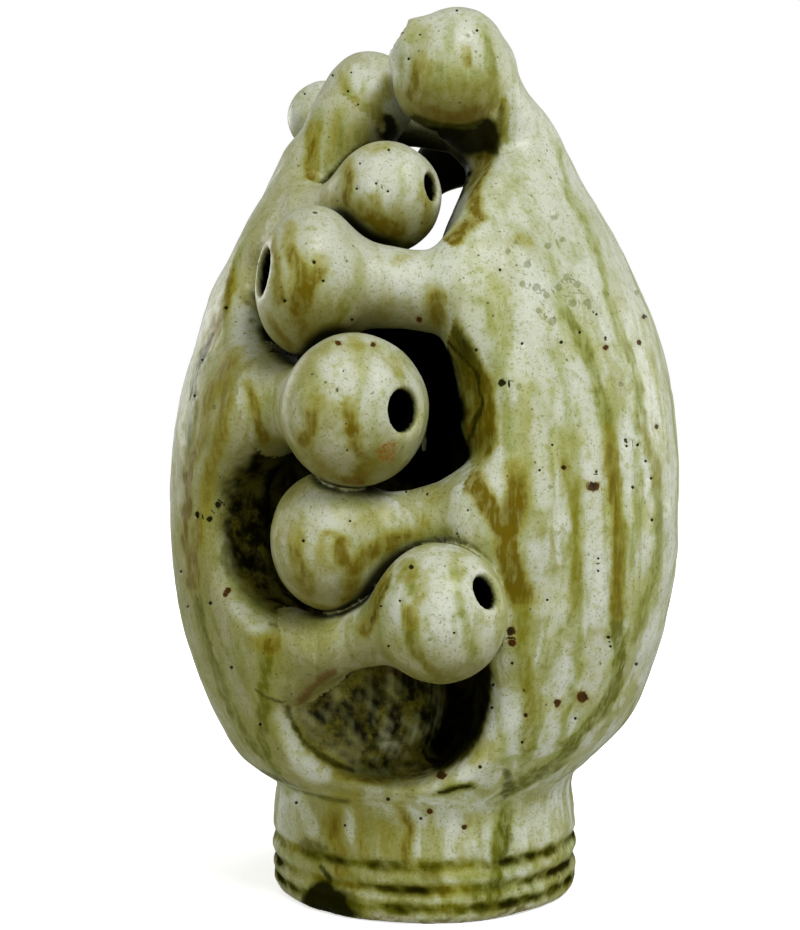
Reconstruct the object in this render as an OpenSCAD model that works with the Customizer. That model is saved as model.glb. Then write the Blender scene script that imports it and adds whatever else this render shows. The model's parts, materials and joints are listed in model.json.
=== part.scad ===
// Twin-chamber ocarina in hand-built stoneware.
// A bud-shaped, double-walled body stands on a thrown foot ring. A winding slit divides it into a left and a right
// air chamber, and hollow fingers with bulb tips reach from each side across the slit. Every bulb has one tone hole.
// Frame: millimetres, +Z up, origin at the centre of the foot's underside. The slit side faces -Y (front), the
// mouthpiece +Y (rear), and left is -X.

/* [Body] */
// Largest outer radius of the body
belly_r = 62.7; // [61.5:0.1:64]
// Height of the largest radius
belly_z = 91; // [89:0.5:93]
// Radius where the body sits on the foot ring
waist_r = 36; // [35:0.5:37]
// How steeply the shoulder closes above the belly, radius lost per mm of height
shoulder_slope = 0.59; // [0.56:0.01:0.62]
// Height above the belly where the shoulder starts to close
shoulder_start = 42; // [40:0.5:44]
// Height of the joint between the thrown bowl and the two domes
seam_z = 117; // [114:0.5:118]
// Height of the left lobe's top
left_top_z = 180; // [179:0.5:181]
// Height of the right lobe's top
right_top_z = 194; // [193:0.5:195]

/* [Walls] */
// Thickness of every clay wall
wall = 5; // [4.5:0.1:5.5]
// Thickness of the whole double wall, from the outer skin to the well
double_wall = 18; // [17.5:0.1:18.5]
// Thickness of the septum between the chambers
septum_t = 4; // [3:0.5:5]

/* [Foot] */
// Outer radius of the foot ring
foot_r = 37.8; // [37.2:0.1:38.2]
// Height of the foot ring
foot_h = 28; // [28:1:28]
// Inner radius of the foot ring
foot_bore_r = 28; // [27:0.5:28.5]
// Depth of the turned grooves
groove_d = 1.1; // [0.6:0.1:1.6]

/* [Fingers] */
// Clay thickness of the bulbs
bulb_wall = 3.6; // [3:0.1:4]
// Radius of the air passage through the necks
neck_bore_r = 4; // [3.5:0.1:4.2]
// Radius of the spigot that is let into the lobe
spigot_r = 6.4; // [6:0.1:6.8]
// Length of the spigot
spigot_len = 6; // [5:0.5:6.5]

/* [Voicing] */
// Width of each windway
windway_w = 11; // [9:0.5:11.5]
// Height of each windway
windway_h = 1.8; // [1.5:0.1:2.2]
// Tilt of the windways from the vertical
windway_tilt = 18; // [16:1:20]
// Distance from the windway's end to the labium's edge
cut_up = 6; // [5:0.5:7]

/* [Hidden] */
$fn = 64;
body_fn = 96;

glaze = "#b4b79a";
glaze_dark = "#8d8d5a";
clay = "#a3977c";

left = -1;
right = 1;

floor_z = foot_h;
floor_t = 5;
floor_r = 30;
floor_top = floor_z + floor_t;
well_z = floor_top + floor_t; // bottom of the open well
well_bottom_r = 12;
shoulder_blend = 12;          // how softly the belly turns into the shoulder

function steps(a, b, n) = [for (i = [0 : n]) a + (b - a) * i / n];
function rev(v) = [for (i = [len(v) - 1 : -1 : 0]) v[i]];
function last(v) = v[len(v) - 1];

// --- Body profile ---

// Superellipse growth below the belly, from 0 at base_z to 1 at the belly
function swell(z, base_z) =
    pow(1 - pow(min(1, (belly_z - z) / (belly_z - base_z)), 1.65), 0.52);
function shoulder_drop(rise) =
    shoulder_slope * shoulder_blend * ln(1 + exp((rise - shoulder_start) / shoulder_blend));

// Outer radius at height z: a superellipse below the belly, a rounded cone above it
function outer_r(z) = z < belly_z
    ? waist_r + (belly_r - waist_r) * swell(z, floor_z)
    : belly_r - shoulder_drop(z - belly_z) + shoulder_drop(0);
// Horizontal width of a sloping wall per mm of its thickness
function slant(z) = min(1.5, sqrt(1 + pow(outer_r(z + 0.5) - outer_r(z - 0.5), 2)));
// Radius at depth t below the outer skin
function in_r(z, t) = outer_r(z) - t * slant(z);
// Radius of the open well in the middle of the body
function well_r(z) = z < belly_z
    ? well_bottom_r + (belly_r - double_wall - well_bottom_r) * swell(z, well_z)
    : in_r(z, double_wall);
// Outer radius of the well's wall, which thickens towards its bottom
function liner_r(z) = z < belly_z
    ? well_r(z) + wall * (1 + 0.35 * pow((belly_z - z) / (belly_z - well_z), 3))
    : in_r(z, double_wall - wall);

// Profile lines through the heights zs, as [radius, z]
function outer_line(zs) = [for (z = zs) [outer_r(z), z]];
function inner_line(zs) = [for (z = zs) [in_r(z, wall), z]];
function liner_line(zs) = [for (z = zs) [liner_r(z), z]];
function well_line(zs) = [for (z = zs) [well_r(z), z]];

// Heights of the profile stations
belly_to_seam = steps(belly_z, seam_z, 3);
cavity_z = concat([33.5, 37, 42, 48, 56, 66, 78], belly_to_seam);
bowl_z = concat([floor_z, 29.2, 31], cavity_z);
well_bowl_z = concat([well_z, 39.5, 42, 46, 52, 60, 68, 79], belly_to_seam);
beak_z = concat([66, 78], belly_to_seam);
function above_seam(top) = [for (i = [1 : 8]) seam_z + (top - seam_z) * i / 8];
function dome_z(top) = concat([seam_z], above_seam(top));

function top_z(side) = side < 0 ? left_top_z : right_top_z;

module ring(outside, inside) {
    rotate_extrude($fn = body_fn) polygon(concat(outside, rev(inside)));
}

// The air space between the two walls
module air_ring(zs) {
    ring(inner_line(zs), liner_line(zs));
}

// --- Slit ---

// Edges of the slit, as [z, x]. They step back between the fingers and come forward to carry them.
front_left_edge = [
    [34, -6], [37, -16], [42, -23], [50, -28], [56, -28], [60, -26.5], [67, -27], [71, -32],
    [76, -39], [82, -43.5], [89, -45], [97, -44], [103, -40], [108, -36.5], [118, -36], [127, -36],
    [132, -37.5], [144, -38], [151, -36], [156, -31], [166, -27], [172, -24], [left_top_z, -21]];
front_right_edge = [
    [34, -2], [37, 5], [42, 9.5], [50, 13], [58, 16], [65, 20], [79, 20], [85, 12],
    [93, 9], [100, 10.5], [106, 13.5], [112, 14.5], [121, 14], [129, 11], [134, 9], [148, 6],
    [154, 5], [160, 8], [166, 11], [176, 15.5], [184, 18], [right_top_z, 19.5]];
rear_left_edge = [
    [140, -4], [143, -12], [148, -18], [156, -20.5], [166, -20], [left_top_z, -18.5]];
rear_right_edge = [
    [140, 2], [143, 8], [148, 10.5], [156, 11], [162, 14], [170, 17], [180, 18.5],
    [right_top_z, 19.5]];

// Limits of the cutters outside the body
cut_x = 80;
cut_y = 90;
cut_z = 240;

// Outline of the slit as [x, z], widened by grow and open above both lobes
function slit_outline(l_edge, r_edge, grow) = concat(
    [[l_edge[0][1], l_edge[0][0] - grow]],
    [for (p = l_edge) [p[1] - grow, p[0]]],
    [[last(l_edge)[1] - grow, left_top_z + 1], [-cut_x, left_top_z + 1],
        [-cut_x, cut_z], [cut_x, cut_z],
        [cut_x, right_top_z + 1], [last(r_edge)[1] + grow, right_top_z + 1]],
    rev([for (p = r_edge) [p[1] + grow, p[0]]]),
    [[r_edge[0][1], r_edge[0][0] - grow]]);

// An [x, z] outline extruded through the front half, y = -cut_y to 0
module front_prism() {
    rotate([90, 0, 0]) linear_extrude(height = cut_y) children();
}

// An [x, z] outline extruded forward from y = cut_y
module rear_prism(depth = cut_y) {
    rotate([90, 0, 0]) translate([0, 0, -cut_y]) linear_extrude(height = depth) children();
}

// A [y, z] outline extruded towards +X from x
module side_prism(x, width) {
    rotate([90, 0, 90]) translate([0, 0, x]) linear_extrude(height = width) children();
}

module slit_front(grow = 0) {
    front_prism() polygon(slit_outline(front_left_edge, front_right_edge, grow));
}

module slit_rear(grow = 0) {
    rear_prism() polygon(slit_outline(rear_left_edge, rear_right_edge, grow));
}

// Box on one side of the plane at x, reaching back from y
module side_box(side, x = 0, y = -100, depth = 200) {
    translate([side < 0 ? x - 100 : x, y, 0]) cube([100, depth, 300]);
}

// --- Fingers ---

// Rows of the finger table
left_1 = 0;
right_1 = 1;
left_2 = 2;
right_2 = 3;
left_3 = 4;
right_3 = 5;
left_4 = 6;
right_4 = 7;
left_5 = 8;
right_5 = 9;

// Root point on the lobe, centre of the bulb, bulb radius across, half-length along the axis,
// neck radius at the root, at the waist and at the bulb, tone hole radius, tone hole direction
fingers = [
    [[-27.5, -42, 62], [4, -62, 73], 15, 14, 9.5, 7.6, 9.0, 3.5, [0.66, -0.62, 0.42]],
    [[14, -49, 93], [-20.2, -47.5, 87], 15.2, 13, 9.0, 7.4, 8.8, 4.0, [-0.80, 0.55, -0.20]],
    [[-37.5, -33, 118], [-13.8, -56, 115.6], 16.4, 14.2, 10.2, 8.6, 9.8, 4.7, [0.76, -0.65, -0.02]],
    [[13, -43.5, 140], [-26, -44, 144.3], 16, 11.5, 9.2, 8.0, 9.0, 4.5, [-0.97, -0.22, 0.06]],
    [[-31, -21, 158], [-8.2, -34, 164.3], 12.4, 12.2, 8.6, 7.2, 8.0, 3.2, [0.84, -0.52, 0.16]],
    [[22.5, -12, 182.5], [5.3, -28, 195.4], 14.5, 13, 10.2, 9.0, 10.0, 4.0, [-0.82, 0.10, 0.56]],
    [[-27.5, -3, 172.5], [-12.5, -8, 192.3], 11, 10.8, 8.6, 7.4, 7.8, 3.5, [0.60, 0.45, 0.66]],
    [[18, 6.2, 186], [-27.5, 12, 193], 8.9, 9.2, 7.4, 5.6, 6.2, 3.0, [-0.62, 0.60, -0.50]],
    [[-23.5, 27.5, 161], [10, 23.5, 187.5], 9.4, 9.4, 8.4, 5.8, 6.4, 3.2, [0.60, 0.50, 0.62]],
    [[17, 38.5, 150], [-12, 45.5, 150], 12, 11.5, 8.8, 7.2, 8.2, 4.0, [-0.80, 0.60, 0.05]]
];
function root(k) = fingers[k][0];
function bulb_centre(k) = fingers[k][1];
function bulb_r(k) = fingers[k][2];
function bulb_half_len(k) = fingers[k][3];
function neck_root_r(k) = fingers[k][4];
function neck_waist_r(k) = fingers[k][5];
function neck_end_r(k) = fingers[k][6];
function hole_r(k) = fingers[k][7];
function hole_dir(k) = fingers[k][8];

function axis(k) = bulb_centre(k) - root(k);
// Distance from the bulb's centre back to the joint with the neck
function joint_back(k) = bulb_half_len(k) * sqrt(1 - pow(neck_end_r(k) / bulb_r(k), 2));

// Fingers whose sockets cut the bowl, and those that cut each dome
bowl_fingers = [left_1, right_1, left_2];
function dome_fingers(side) = side < 0
    ? [left_2, left_3, left_4, left_5]
    : [right_2, right_3, right_4, right_5];

// Moves +Z onto the line from origin in direction dir
module along(origin, dir) {
    translate(origin) rotate([0, acos(dir[2] / norm(dir)), atan2(dir[1], dir[0])]) children();
}

// Half outline of an ellipsoid as [radius, z], from the angle start up to its tip
function half_ellipse(across, half_len, start) =
    [for (t = steps(start, 0, 18)) [max(0, across * sin(t)), half_len * cos(t)]];

module bulb(k) {
    half_len = bulb_half_len(k);
    back = joint_back(k);
    color(glaze) difference() {
        along(bulb_centre(k), axis(k)) difference() {
            rotate_extrude() polygon(concat([[0, -back]],
                half_ellipse(bulb_r(k), half_len, acos(-back / half_len))));
            rotate_extrude()
                polygon(half_ellipse(bulb_r(k) - bulb_wall, half_len - bulb_wall, 180));
            translate([0, 0, -half_len - 1]) cylinder(r = neck_bore_r, h = half_len + 1);
        }
        along(bulb_centre(k), hole_dir(k)) cylinder(r = hole_r(k), h = 30);
    }
}

// Solid neck with its spigot
module neck_envelope(k) {
    neck_len = norm(axis(k)) - joint_back(k);
    root_r = neck_root_r(k);
    mid_r = neck_waist_r(k);
    end_r = neck_end_r(k);
    along(root(k), axis(k)) rotate_extrude() polygon([
        [0, -spigot_len], [spigot_r, -spigot_len], [spigot_r, -1],
        [root_r, 0],
        [(root_r + mid_r) / 2 - 0.2, neck_len * 0.18],
        [mid_r, neck_len * 0.48],
        [(mid_r + end_r) / 2 - 0.15, neck_len * 0.8],
        [end_r, neck_len], [0, neck_len]]);
}

module neck(k) {
    color(glaze) difference() {
        neck_envelope(k);
        along(root(k), axis(k)) translate([0, 0, -20]) cylinder(r = neck_bore_r, h = 100);
    }
}

// Sockets for the fingers, each with a short drilling into the chamber behind it
module sockets(list) {
    for (k = list) {
        neck_envelope(k);
        along(root(k), axis(k)) translate([0, 0, -spigot_len - 3])
            cylinder(r = neck_bore_r, h = 6);
    }
}

// --- Bowl, domes and well ---

window_x = 9.5;    // centre of each window from the middle plane
window_w = 12;
window_h = 16;
window_top = 84;
rear_cut_y = 50;   // start of the cuts through the rear wall
rear_cut_len = 20;

module bowl_blank() {
    rotate_extrude($fn = body_fn) polygon(concat(outer_line(bowl_z), rev(inner_line(cavity_z)),
        [[in_r(cavity_z[0], wall), floor_top], [floor_r, floor_top], [floor_r, floor_z]]));
}

module windows() {
    for (side = [left, right])
        translate([side * window_x - window_w / 2, rear_cut_y, window_top - window_h])
            cube([window_w, rear_cut_len, window_h]);
}

module beak_socket() {
    translate([-16, rear_cut_y, window_top]) cube([32, rear_cut_len, 9]);
}

module bowl_wall() {
    color(glaze) difference() {
        bowl_blank();
        slit_front();
        windows();
        beak_socket();
        sockets(bowl_fingers);
    }
}

// One side of a full ring, cut by the slit and the finger sockets
module lobe(side) {
    intersection() {
        difference() {
            children();
            slit_front();
            slit_rear();
            sockets(dome_fingers(side));
        }
        side_box(side);
    }
}

module dome_wall(side) {
    zs = dome_z(top_z(side));
    color(glaze) lobe(side) ring(outer_line(zs), inner_line(zs));
}
module left_dome_wall() { dome_wall(left); }
module right_dome_wall() { dome_wall(right); }

module well_bowl() {
    color(clay) difference() {
        rotate_extrude($fn = body_fn) polygon(concat(
            [[0, floor_top], [liner_r(well_z), floor_top]],
            liner_line(well_bowl_z), rev(well_line(well_bowl_z)), [[0, well_z]]));
        slit_front();
        sockets(bowl_fingers);
    }
}

module well_wall(side) {
    zs = dome_z(top_z(side));
    color(clay) lobe(side) ring(liner_line(zs), well_line(zs));
}
module left_well_wall() { well_wall(left); }
module right_well_wall() { well_wall(right); }

// --- Rims, cap and septum ---

// The front rims meet below the slit, midway between its two lowest points
front_split_x = (front_left_edge[0][1] + front_right_edge[0][1]) / 2;

// Strips that close the double wall along the slit's edges
module front_rim(side, list) {
    color(glaze_dark) intersection() {
        difference() {
            air_ring(concat(cavity_z, above_seam(top_z(side))));
            slit_front();
            sockets(list);
        }
        slit_front(wall);
        side_box(side, x = front_split_x, depth = 100);
    }
}
module left_front_rim() { front_rim(left, [left_1, left_2, left_3, left_4]); }
module right_front_rim() { front_rim(right, [right_1, right_2, right_3, right_4]); }

module rear_rim(side, list) {
    color(glaze_dark) intersection() {
        difference() {
            air_ring(above_seam(top_z(side)));
            slit_rear();
            sockets(list);
        }
        slit_rear(wall);
        side_box(side, y = 0, depth = 100);
    }
}
module left_rear_rim() { rear_rim(left, [left_4, left_5]); }
module right_rear_rim() { rear_rim(right, [right_4, right_5]); }

// Area on the slit side of a rim, from the rim's inner face at the lobe's top
module beyond_rim(edge) {
    x = last(edge)[1] - wall;
    polygon([[x, 100], [60, 100], [60, cut_z], [x, cut_z]]);
}

// Closes the left chamber between its two rims
module left_top_cap() {
    color(glaze_dark) difference() {
        intersection() {
            air_ring([left_top_z - wall, left_top_z]);
            side_box(left);
        }
        front_prism() beyond_rim(front_left_edge);
        rear_prism() beyond_rim(rear_left_edge);
        sockets([left_3, left_4, left_5]);
    }
}

// Upright wall at the rear, up to one wall thickness below the rear slit
module rear_septum() {
    color(clay) intersection() {
        air_ring(concat(cavity_z, [rear_left_edge[0][0] - wall]));
        translate([-septum_t / 2, 10, 0]) cube([septum_t, 90, 300]);
    }
}

// --- Foot ---

module foot_ring() {
    color(glaze) rotate_extrude($fn = 128) polygon([
        [foot_bore_r, 0], [foot_r - 1.2, 0], [foot_r, 1.4], [foot_r, 2.4],
        [foot_r - groove_d / 2, 3.6], [foot_r, 5], [foot_r, 6.2],
        [foot_r - groove_d, 7.8], [foot_r - 0.1, 9.4], [foot_r - 0.1, 11.2],
        [foot_r - groove_d - 0.2, 13], [foot_r - 0.4, 14.8], [foot_r - 0.9, 19],
        [foot_r - 1.4, 24], [foot_r - 1.2, foot_h],
        [foot_bore_r, foot_h], [foot_bore_r, 24], [foot_bore_r + 1, 2]]);
}

module foot_floor() {
    color(clay) translate([0, 0, floor_z]) cylinder(r = floor_r, h = floor_t, $fn = body_fn);
}

// --- Mouthpiece and labia ---

jet_y = 60.4; // where each windway leaves the mouthpiece, at the windows' top
beak_w = 36;
// Beak seen from the side, as [y, z]
beak_side = [[56, window_top], [64, window_top], [69, 87], [76.75, 110.5], [75.4, 113],
    [69.6, 115.5], [66.5, 114.5], [62.8, 104], [57, 95]];
// Right half of the beak's outline across the body, as [x, z]
beak_half = [[beak_w / 2, window_top], [beak_w / 2, 95], [15.5, 112], [13, 116]];

module windway(side) {
    translate([side * window_x, jet_y, window_top]) rotate([-windway_tilt, 0, 0])
        translate([-windway_w / 2, -windway_h / 2, -8]) cube([windway_w, windway_h, 60]);
}

// The part of the beak that is let into the wall
module beak_root() {
    intersection() {
        bowl_blank();
        beak_socket();
    }
}

module mouthpiece() {
    color(glaze) difference() {
        union() {
            intersection() {
                side_prism(-beak_w / 2, beak_w) polygon(beak_side);
                rear_prism(cut_y - rear_cut_y)
                    polygon(concat(beak_half, rev([for (p = beak_half) [-p[0], p[1]]])));
            }
            beak_root();
        }
        // the space inside the body's outer skin, but for the socket
        difference() {
            rotate_extrude($fn = body_fn)
                polygon(concat([[0, 60]], outer_line(beak_z), [[0, seam_z]]));
            beak_root();
        }
        windway(left);
        windway(right);
    }
}

// Wedge in the lower part of the window: its thin edge faces the windway
module labium(side) {
    edge_y = jet_y - tan(windway_tilt) * cut_up;
    edge_z = window_top - cut_up;
    bottom = window_top - window_h;
    inner_z = window_top - 10;
    color(clay) intersection() {
        bowl_blank();
        side_prism(side * window_x - window_w / 2, window_w) polygon([
            [rear_cut_y, bottom], [64, bottom], [edge_y + 0.3, edge_z], [edge_y - 0.3, edge_z],
            [57.2, inner_z], [rear_cut_y, inner_z]]);
    }
}
module left_labium() { labium(left); }
module right_labium() { labium(right); }

foot_ring();
foot_floor();
bowl_wall();
left_dome_wall();
right_dome_wall();
well_bowl();
left_well_wall();
right_well_wall();
left_front_rim();
right_front_rim();
left_rear_rim();
right_rear_rim();
left_top_cap();
rear_septum();
mouthpiece();
left_labium();
right_labium();
neck(left_1);  // left_neck_1
neck(right_1);  // right_neck_1
neck(left_2);  // left_neck_2
neck(right_2);  // right_neck_2
neck(left_3);  // left_neck_3
neck(right_3);  // right_neck_3
neck(left_4);  // left_neck_4
neck(right_4);  // right_neck_4
neck(left_5);  // left_neck_5
neck(right_5);  // right_neck_5
bulb(left_1);  // left_bulb_1
bulb(right_1);  // right_bulb_1
bulb(left_2);  // left_bulb_2
bulb(right_2);  // right_bulb_2
bulb(left_3);  // left_bulb_3
bulb(right_3);  // right_bulb_3
bulb(left_4);  // left_bulb_4
bulb(right_4);  // right_bulb_4
bulb(left_5);  // left_bulb_5
bulb(right_5);  // right_bulb_5
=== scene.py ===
import bpy
import json
import math
import time
import numpy as np
import openvdb as vdb
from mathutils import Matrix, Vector
from mathutils.kdtree import KDTree

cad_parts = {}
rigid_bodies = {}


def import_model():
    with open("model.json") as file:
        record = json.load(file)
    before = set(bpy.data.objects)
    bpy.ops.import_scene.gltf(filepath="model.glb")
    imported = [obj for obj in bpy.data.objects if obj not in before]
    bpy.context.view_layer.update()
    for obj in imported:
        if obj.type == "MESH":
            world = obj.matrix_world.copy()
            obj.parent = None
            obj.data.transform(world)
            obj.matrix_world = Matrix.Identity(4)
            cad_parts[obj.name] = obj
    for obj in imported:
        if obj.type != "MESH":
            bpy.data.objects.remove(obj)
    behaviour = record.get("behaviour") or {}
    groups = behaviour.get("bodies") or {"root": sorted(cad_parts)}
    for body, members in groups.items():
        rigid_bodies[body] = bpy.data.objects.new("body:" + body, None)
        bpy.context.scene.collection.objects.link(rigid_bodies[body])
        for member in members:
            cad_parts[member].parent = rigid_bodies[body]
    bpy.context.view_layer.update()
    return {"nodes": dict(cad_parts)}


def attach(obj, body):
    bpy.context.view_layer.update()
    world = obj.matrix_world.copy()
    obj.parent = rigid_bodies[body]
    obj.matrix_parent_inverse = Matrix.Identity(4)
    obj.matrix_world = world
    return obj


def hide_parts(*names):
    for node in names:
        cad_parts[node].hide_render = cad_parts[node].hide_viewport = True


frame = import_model()
T0 = time.time()


def note(text):
    print(f"[{time.time() - T0:6.1f} s] {text}")


# ------------------------------------------------------------------ the clay, as a distance field in millimetres
H = 0.8
X = np.arange(-66.0, 66.01, H)
Y = np.arange(-80.0, 80.01, H)
Z = np.arange(-2.4, 216.01, H)
SHAPE = (len(X), len(Y), len(Z))
RR = np.sqrt(X[:, None] ** 2 + Y[None, :] ** 2)
TH = np.arctan2(X[:, None], -Y[None, :])  # 0 at the front, positive towards +X

BELLY_R, BELLY_Z, WAIST_R, FLOOR_Z, SEAM_Z = 62.7, 91.0, 37.0, 28.0, 117.0


def soft(s):
    return 0.59 * 12 * np.log1p(np.exp((s - 42) / 12))


def outer_r(z):
    z = np.asarray(z, float)
    t = np.clip((BELLY_Z - z) / (BELLY_Z - FLOOR_Z), 0, 1)
    low = WAIST_R + (BELLY_R - WAIST_R) * (1 - t**1.65) ** 0.52
    return np.where(z < BELLY_Z, low, BELLY_R - soft(z - BELLY_Z) + soft(0.0))


def slant(z):
    return np.minimum(1.5, np.sqrt(1 + (outer_r(z + 0.5) - outer_r(z - 0.5)) ** 2))


def well_r(z):
    z = np.asarray(z, float)
    t = np.clip((BELLY_Z - z) / (BELLY_Z - 38.0), 0, 1)
    return np.where(z < BELLY_Z, 12 + (BELLY_R - 18 - 12) * (1 - t**1.65) ** 0.52, outer_r(z) - 18 * slant(z))


def poly_sd(poly, p, q):
    """Signed distance from points (p, q) to a closed polygon, negative inside."""
    poly = np.asarray(poly, float)
    d = np.full(p.shape, 1e9)
    inside = np.zeros(p.shape, bool)
    for a, b in zip(poly, np.roll(poly, -1, 0)):
        e = b - a
        w0, w1 = p - a[0], q - a[1]
        t = np.clip((w0 * e[0] + w1 * e[1]) / max(e @ e, 1e-12), 0, 1)
        d = np.minimum(d, (w0 - t * e[0]) ** 2 + (w1 - t * e[1]) ** 2)
        c = (a[1] > q) != (b[1] > q)
        if abs(e[1]) > 1e-12:
            inside ^= c & (p < a[0] + (q - a[1]) * e[0] / e[1])
    d = np.sqrt(d)
    return np.where(inside, -d, d)


def revolve_sd(poly):
    """The distance field of a polygon (radius, height) turned about Z, on the grid."""
    r = np.arange(0, 106, 0.75)
    rr, zz = np.meshgrid(r, Z, indexing="ij")
    table = poly_sd(poly, rr, zz)
    out = np.empty(SHAPE, np.float32)
    flat = RR.ravel()
    for k in range(SHAPE[2]):
        out[:, :, k] = np.interp(flat, r, table[:, k]).reshape(RR.shape)
    return out


def lattice_up(a, n, step, cell, origin, axis):
    c = (origin + step * np.arange(n)) / cell
    c = c - np.floor(origin / cell)
    i = np.floor(c).astype(int)
    f = (c - i).astype(np.float32)
    f = f * f * (3 - 2 * f)
    shape = [1, 1, 1]
    shape[axis] = n
    f = f.reshape(shape)
    return np.take(a, i, axis) * (1 - f) + np.take(a, i + 1, axis) * f


def noise_grid(seed, cell):
    """Smooth value noise in -1..1 on the grid; cell gives its size in mm along x, y and z."""
    rng = np.random.default_rng(seed)
    lo = (X[0], Y[0], Z[0])
    dims = [int(SHAPE[a] * H / cell[a]) + 4 for a in range(3)]
    a = rng.uniform(-1, 1, dims).astype(np.float32)
    for axis in (0, 1, 2):
        a = lattice_up(a, SHAPE[axis], H, cell[axis], lo[axis], axis)
    return a


def rmax(a, b, r):
    """Intersection with a rounded edge of radius r."""
    return np.minimum(np.maximum(a + r, b + r), 0) + np.sqrt(np.maximum(a + r, 0) ** 2 + np.maximum(b + r, 0) ** 2) - r


def smin(a, b, k):
    """Union with a fillet about k wide."""
    h = np.clip(0.5 + 0.5 * (b - a) / k, 0, 1)
    return b + (a - b) * h - k * h * (1 - h)


def smax(a, b, k):
    return -smin(-a, -b, k)


def ease(x, lo, hi):
    t = np.clip((x - lo) / (hi - lo), 0, 1)
    return t * t * (3 - 2 * t)


def ball(gx, gy, gz, c, r):
    return np.sqrt((gx - c[0]) ** 2 + (gy - c[1]) ** 2 + (gz - c[2]) ** 2) - r


# The slit's edges as (height, x), seen from the front and read on the middle of the wall
front_left = [[33, -6], [36, -15], [40, -22], [47, -27], [54, -28.5], [60, -27], [66, -27], [70, -32], [75, -37.5],
              [81, -41], [89, -42.5], [98, -41.5], [104, -38], [109, -35], [118, -33.5], [127, -34], [132, -36],
              [144, -37], [151, -35], [156, -31], [166, -27], [172, -24], [184, -19]]
front_right = [[33, -2], [36, 5], [41, 10], [49, 13.5], [56, 14.5], [62, 13.5], [70, 11], [80, 9], [90, 8.5], [97, 9.5],
               [103, 13], [109, 15.5], [116, 16], [123, 14.5], [130, 11.5], [135, 9], [148, 6], [154, 4.5], [160, 7],
               [167, 10.5], [177, 15], [186, 18], [198, 21]]
rear_left = [[143, -4], [146, -12], [150, -18], [156, -20.5], [166, -20], [184, -18]]
rear_right = [[143, 2], [146, 8], [150, 10.5], [156, 11], [162, 14], [170, 17], [180, 18.5], [198, 20]]
LEFT_TOP, RIGHT_TOP = 182.0, 196.0


def slit_table():
    """Distance along the wall from the slit's edge, by angle and height: positive in the clay, negative in the slit."""
    def mask(th, z):
        rho = outer_r(z) - 9 * slant(z)
        x, y = rho * np.sin(th), -rho * np.cos(th)
        fl, fr = np.array(front_left), np.array(front_right)
        rl, rr = np.array(rear_left), np.array(rear_right)
        front = (y < 0) & (z > fl[0][0]) & (x > np.interp(z, fl[:, 0], fl[:, 1])) & (x < np.interp(z, fr[:, 0], fr[:, 1]))
        rear = (y >= 0) & (z > rl[0][0]) & (x > np.interp(z, rl[:, 0], rl[:, 1])) & (x < np.interp(z, rr[:, 0], rr[:, 1]))
        top = ((x < 0) & (z > LEFT_TOP)) | ((x >= 0) & (z > RIGHT_TOP))
        return front | rear | top, x, y

    th = np.radians(np.arange(-180, 180.01, 0.5))
    z = np.arange(24, 217, 0.5)
    tt, zz = np.meshgrid(th, z, indexing="ij")
    m, x, y = mask(tt, zz)
    pts = []
    for axis in (0, 1):
        a = [slice(None)] * 2
        b = [slice(None)] * 2
        a[axis], b[axis] = slice(0, -1), slice(1, None)
        a, b = tuple(a), tuple(b)
        c = m[a] != m[b]
        pts.append(np.stack([(x[a] + x[b])[c] / 2, (y[a] + y[b])[c] / 2, (zz[a] + zz[b])[c] / 2], 1))
    pts = np.concatenate(pts)
    tree = KDTree(len(pts))
    for i, p in enumerate(pts):
        tree.insert(p, i)
    tree.balance()
    th2 = np.radians(np.arange(-180, 180.01, 1.0))
    z2 = np.arange(24, 217, 1.0)
    t2, zz2 = np.meshgrid(th2, z2, indexing="ij")
    m2, x2, y2 = mask(t2, zz2)
    d = np.array([tree.find(p)[2] for p in np.stack([x2, y2, zz2], -1).reshape(-1, 3)]).reshape(m2.shape)
    d = np.where(m2, -d, d)
    k = np.array([1, 4, 7, 4, 1]) / 17
    for _ in range(2):  # rounds the outline's corners
        d = sum(w * np.roll(d[:-1], s, 0) for w, s in zip(k, range(-2, 3)))
        d = np.concatenate([d, d[:1]])
        p = np.pad(d, ((0, 0), (2, 2)), mode="edge")
        d = sum(w * p[:, s:s + d.shape[1]] for w, s in zip(k, range(5)))
    return th2, z2, d


def slit_grid():
    th2, z2, d = slit_table()
    out = np.empty(SHAPE, np.float32)
    flat = TH.ravel()
    zi = np.clip((Z - z2[0]) / (z2[1] - z2[0]), 0, len(z2) - 1.001)
    for k in range(SHAPE[2]):
        i = int(zi[k])
        f = zi[k] - i
        row = d[:, i] * (1 - f) + d[:, i + 1] * f
        out[:, :, k] = np.interp(flat, th2, row).reshape(TH.shape)
    return out


def unit(v):
    v = np.asarray(v, float)
    return v / np.linalg.norm(v)


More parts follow.
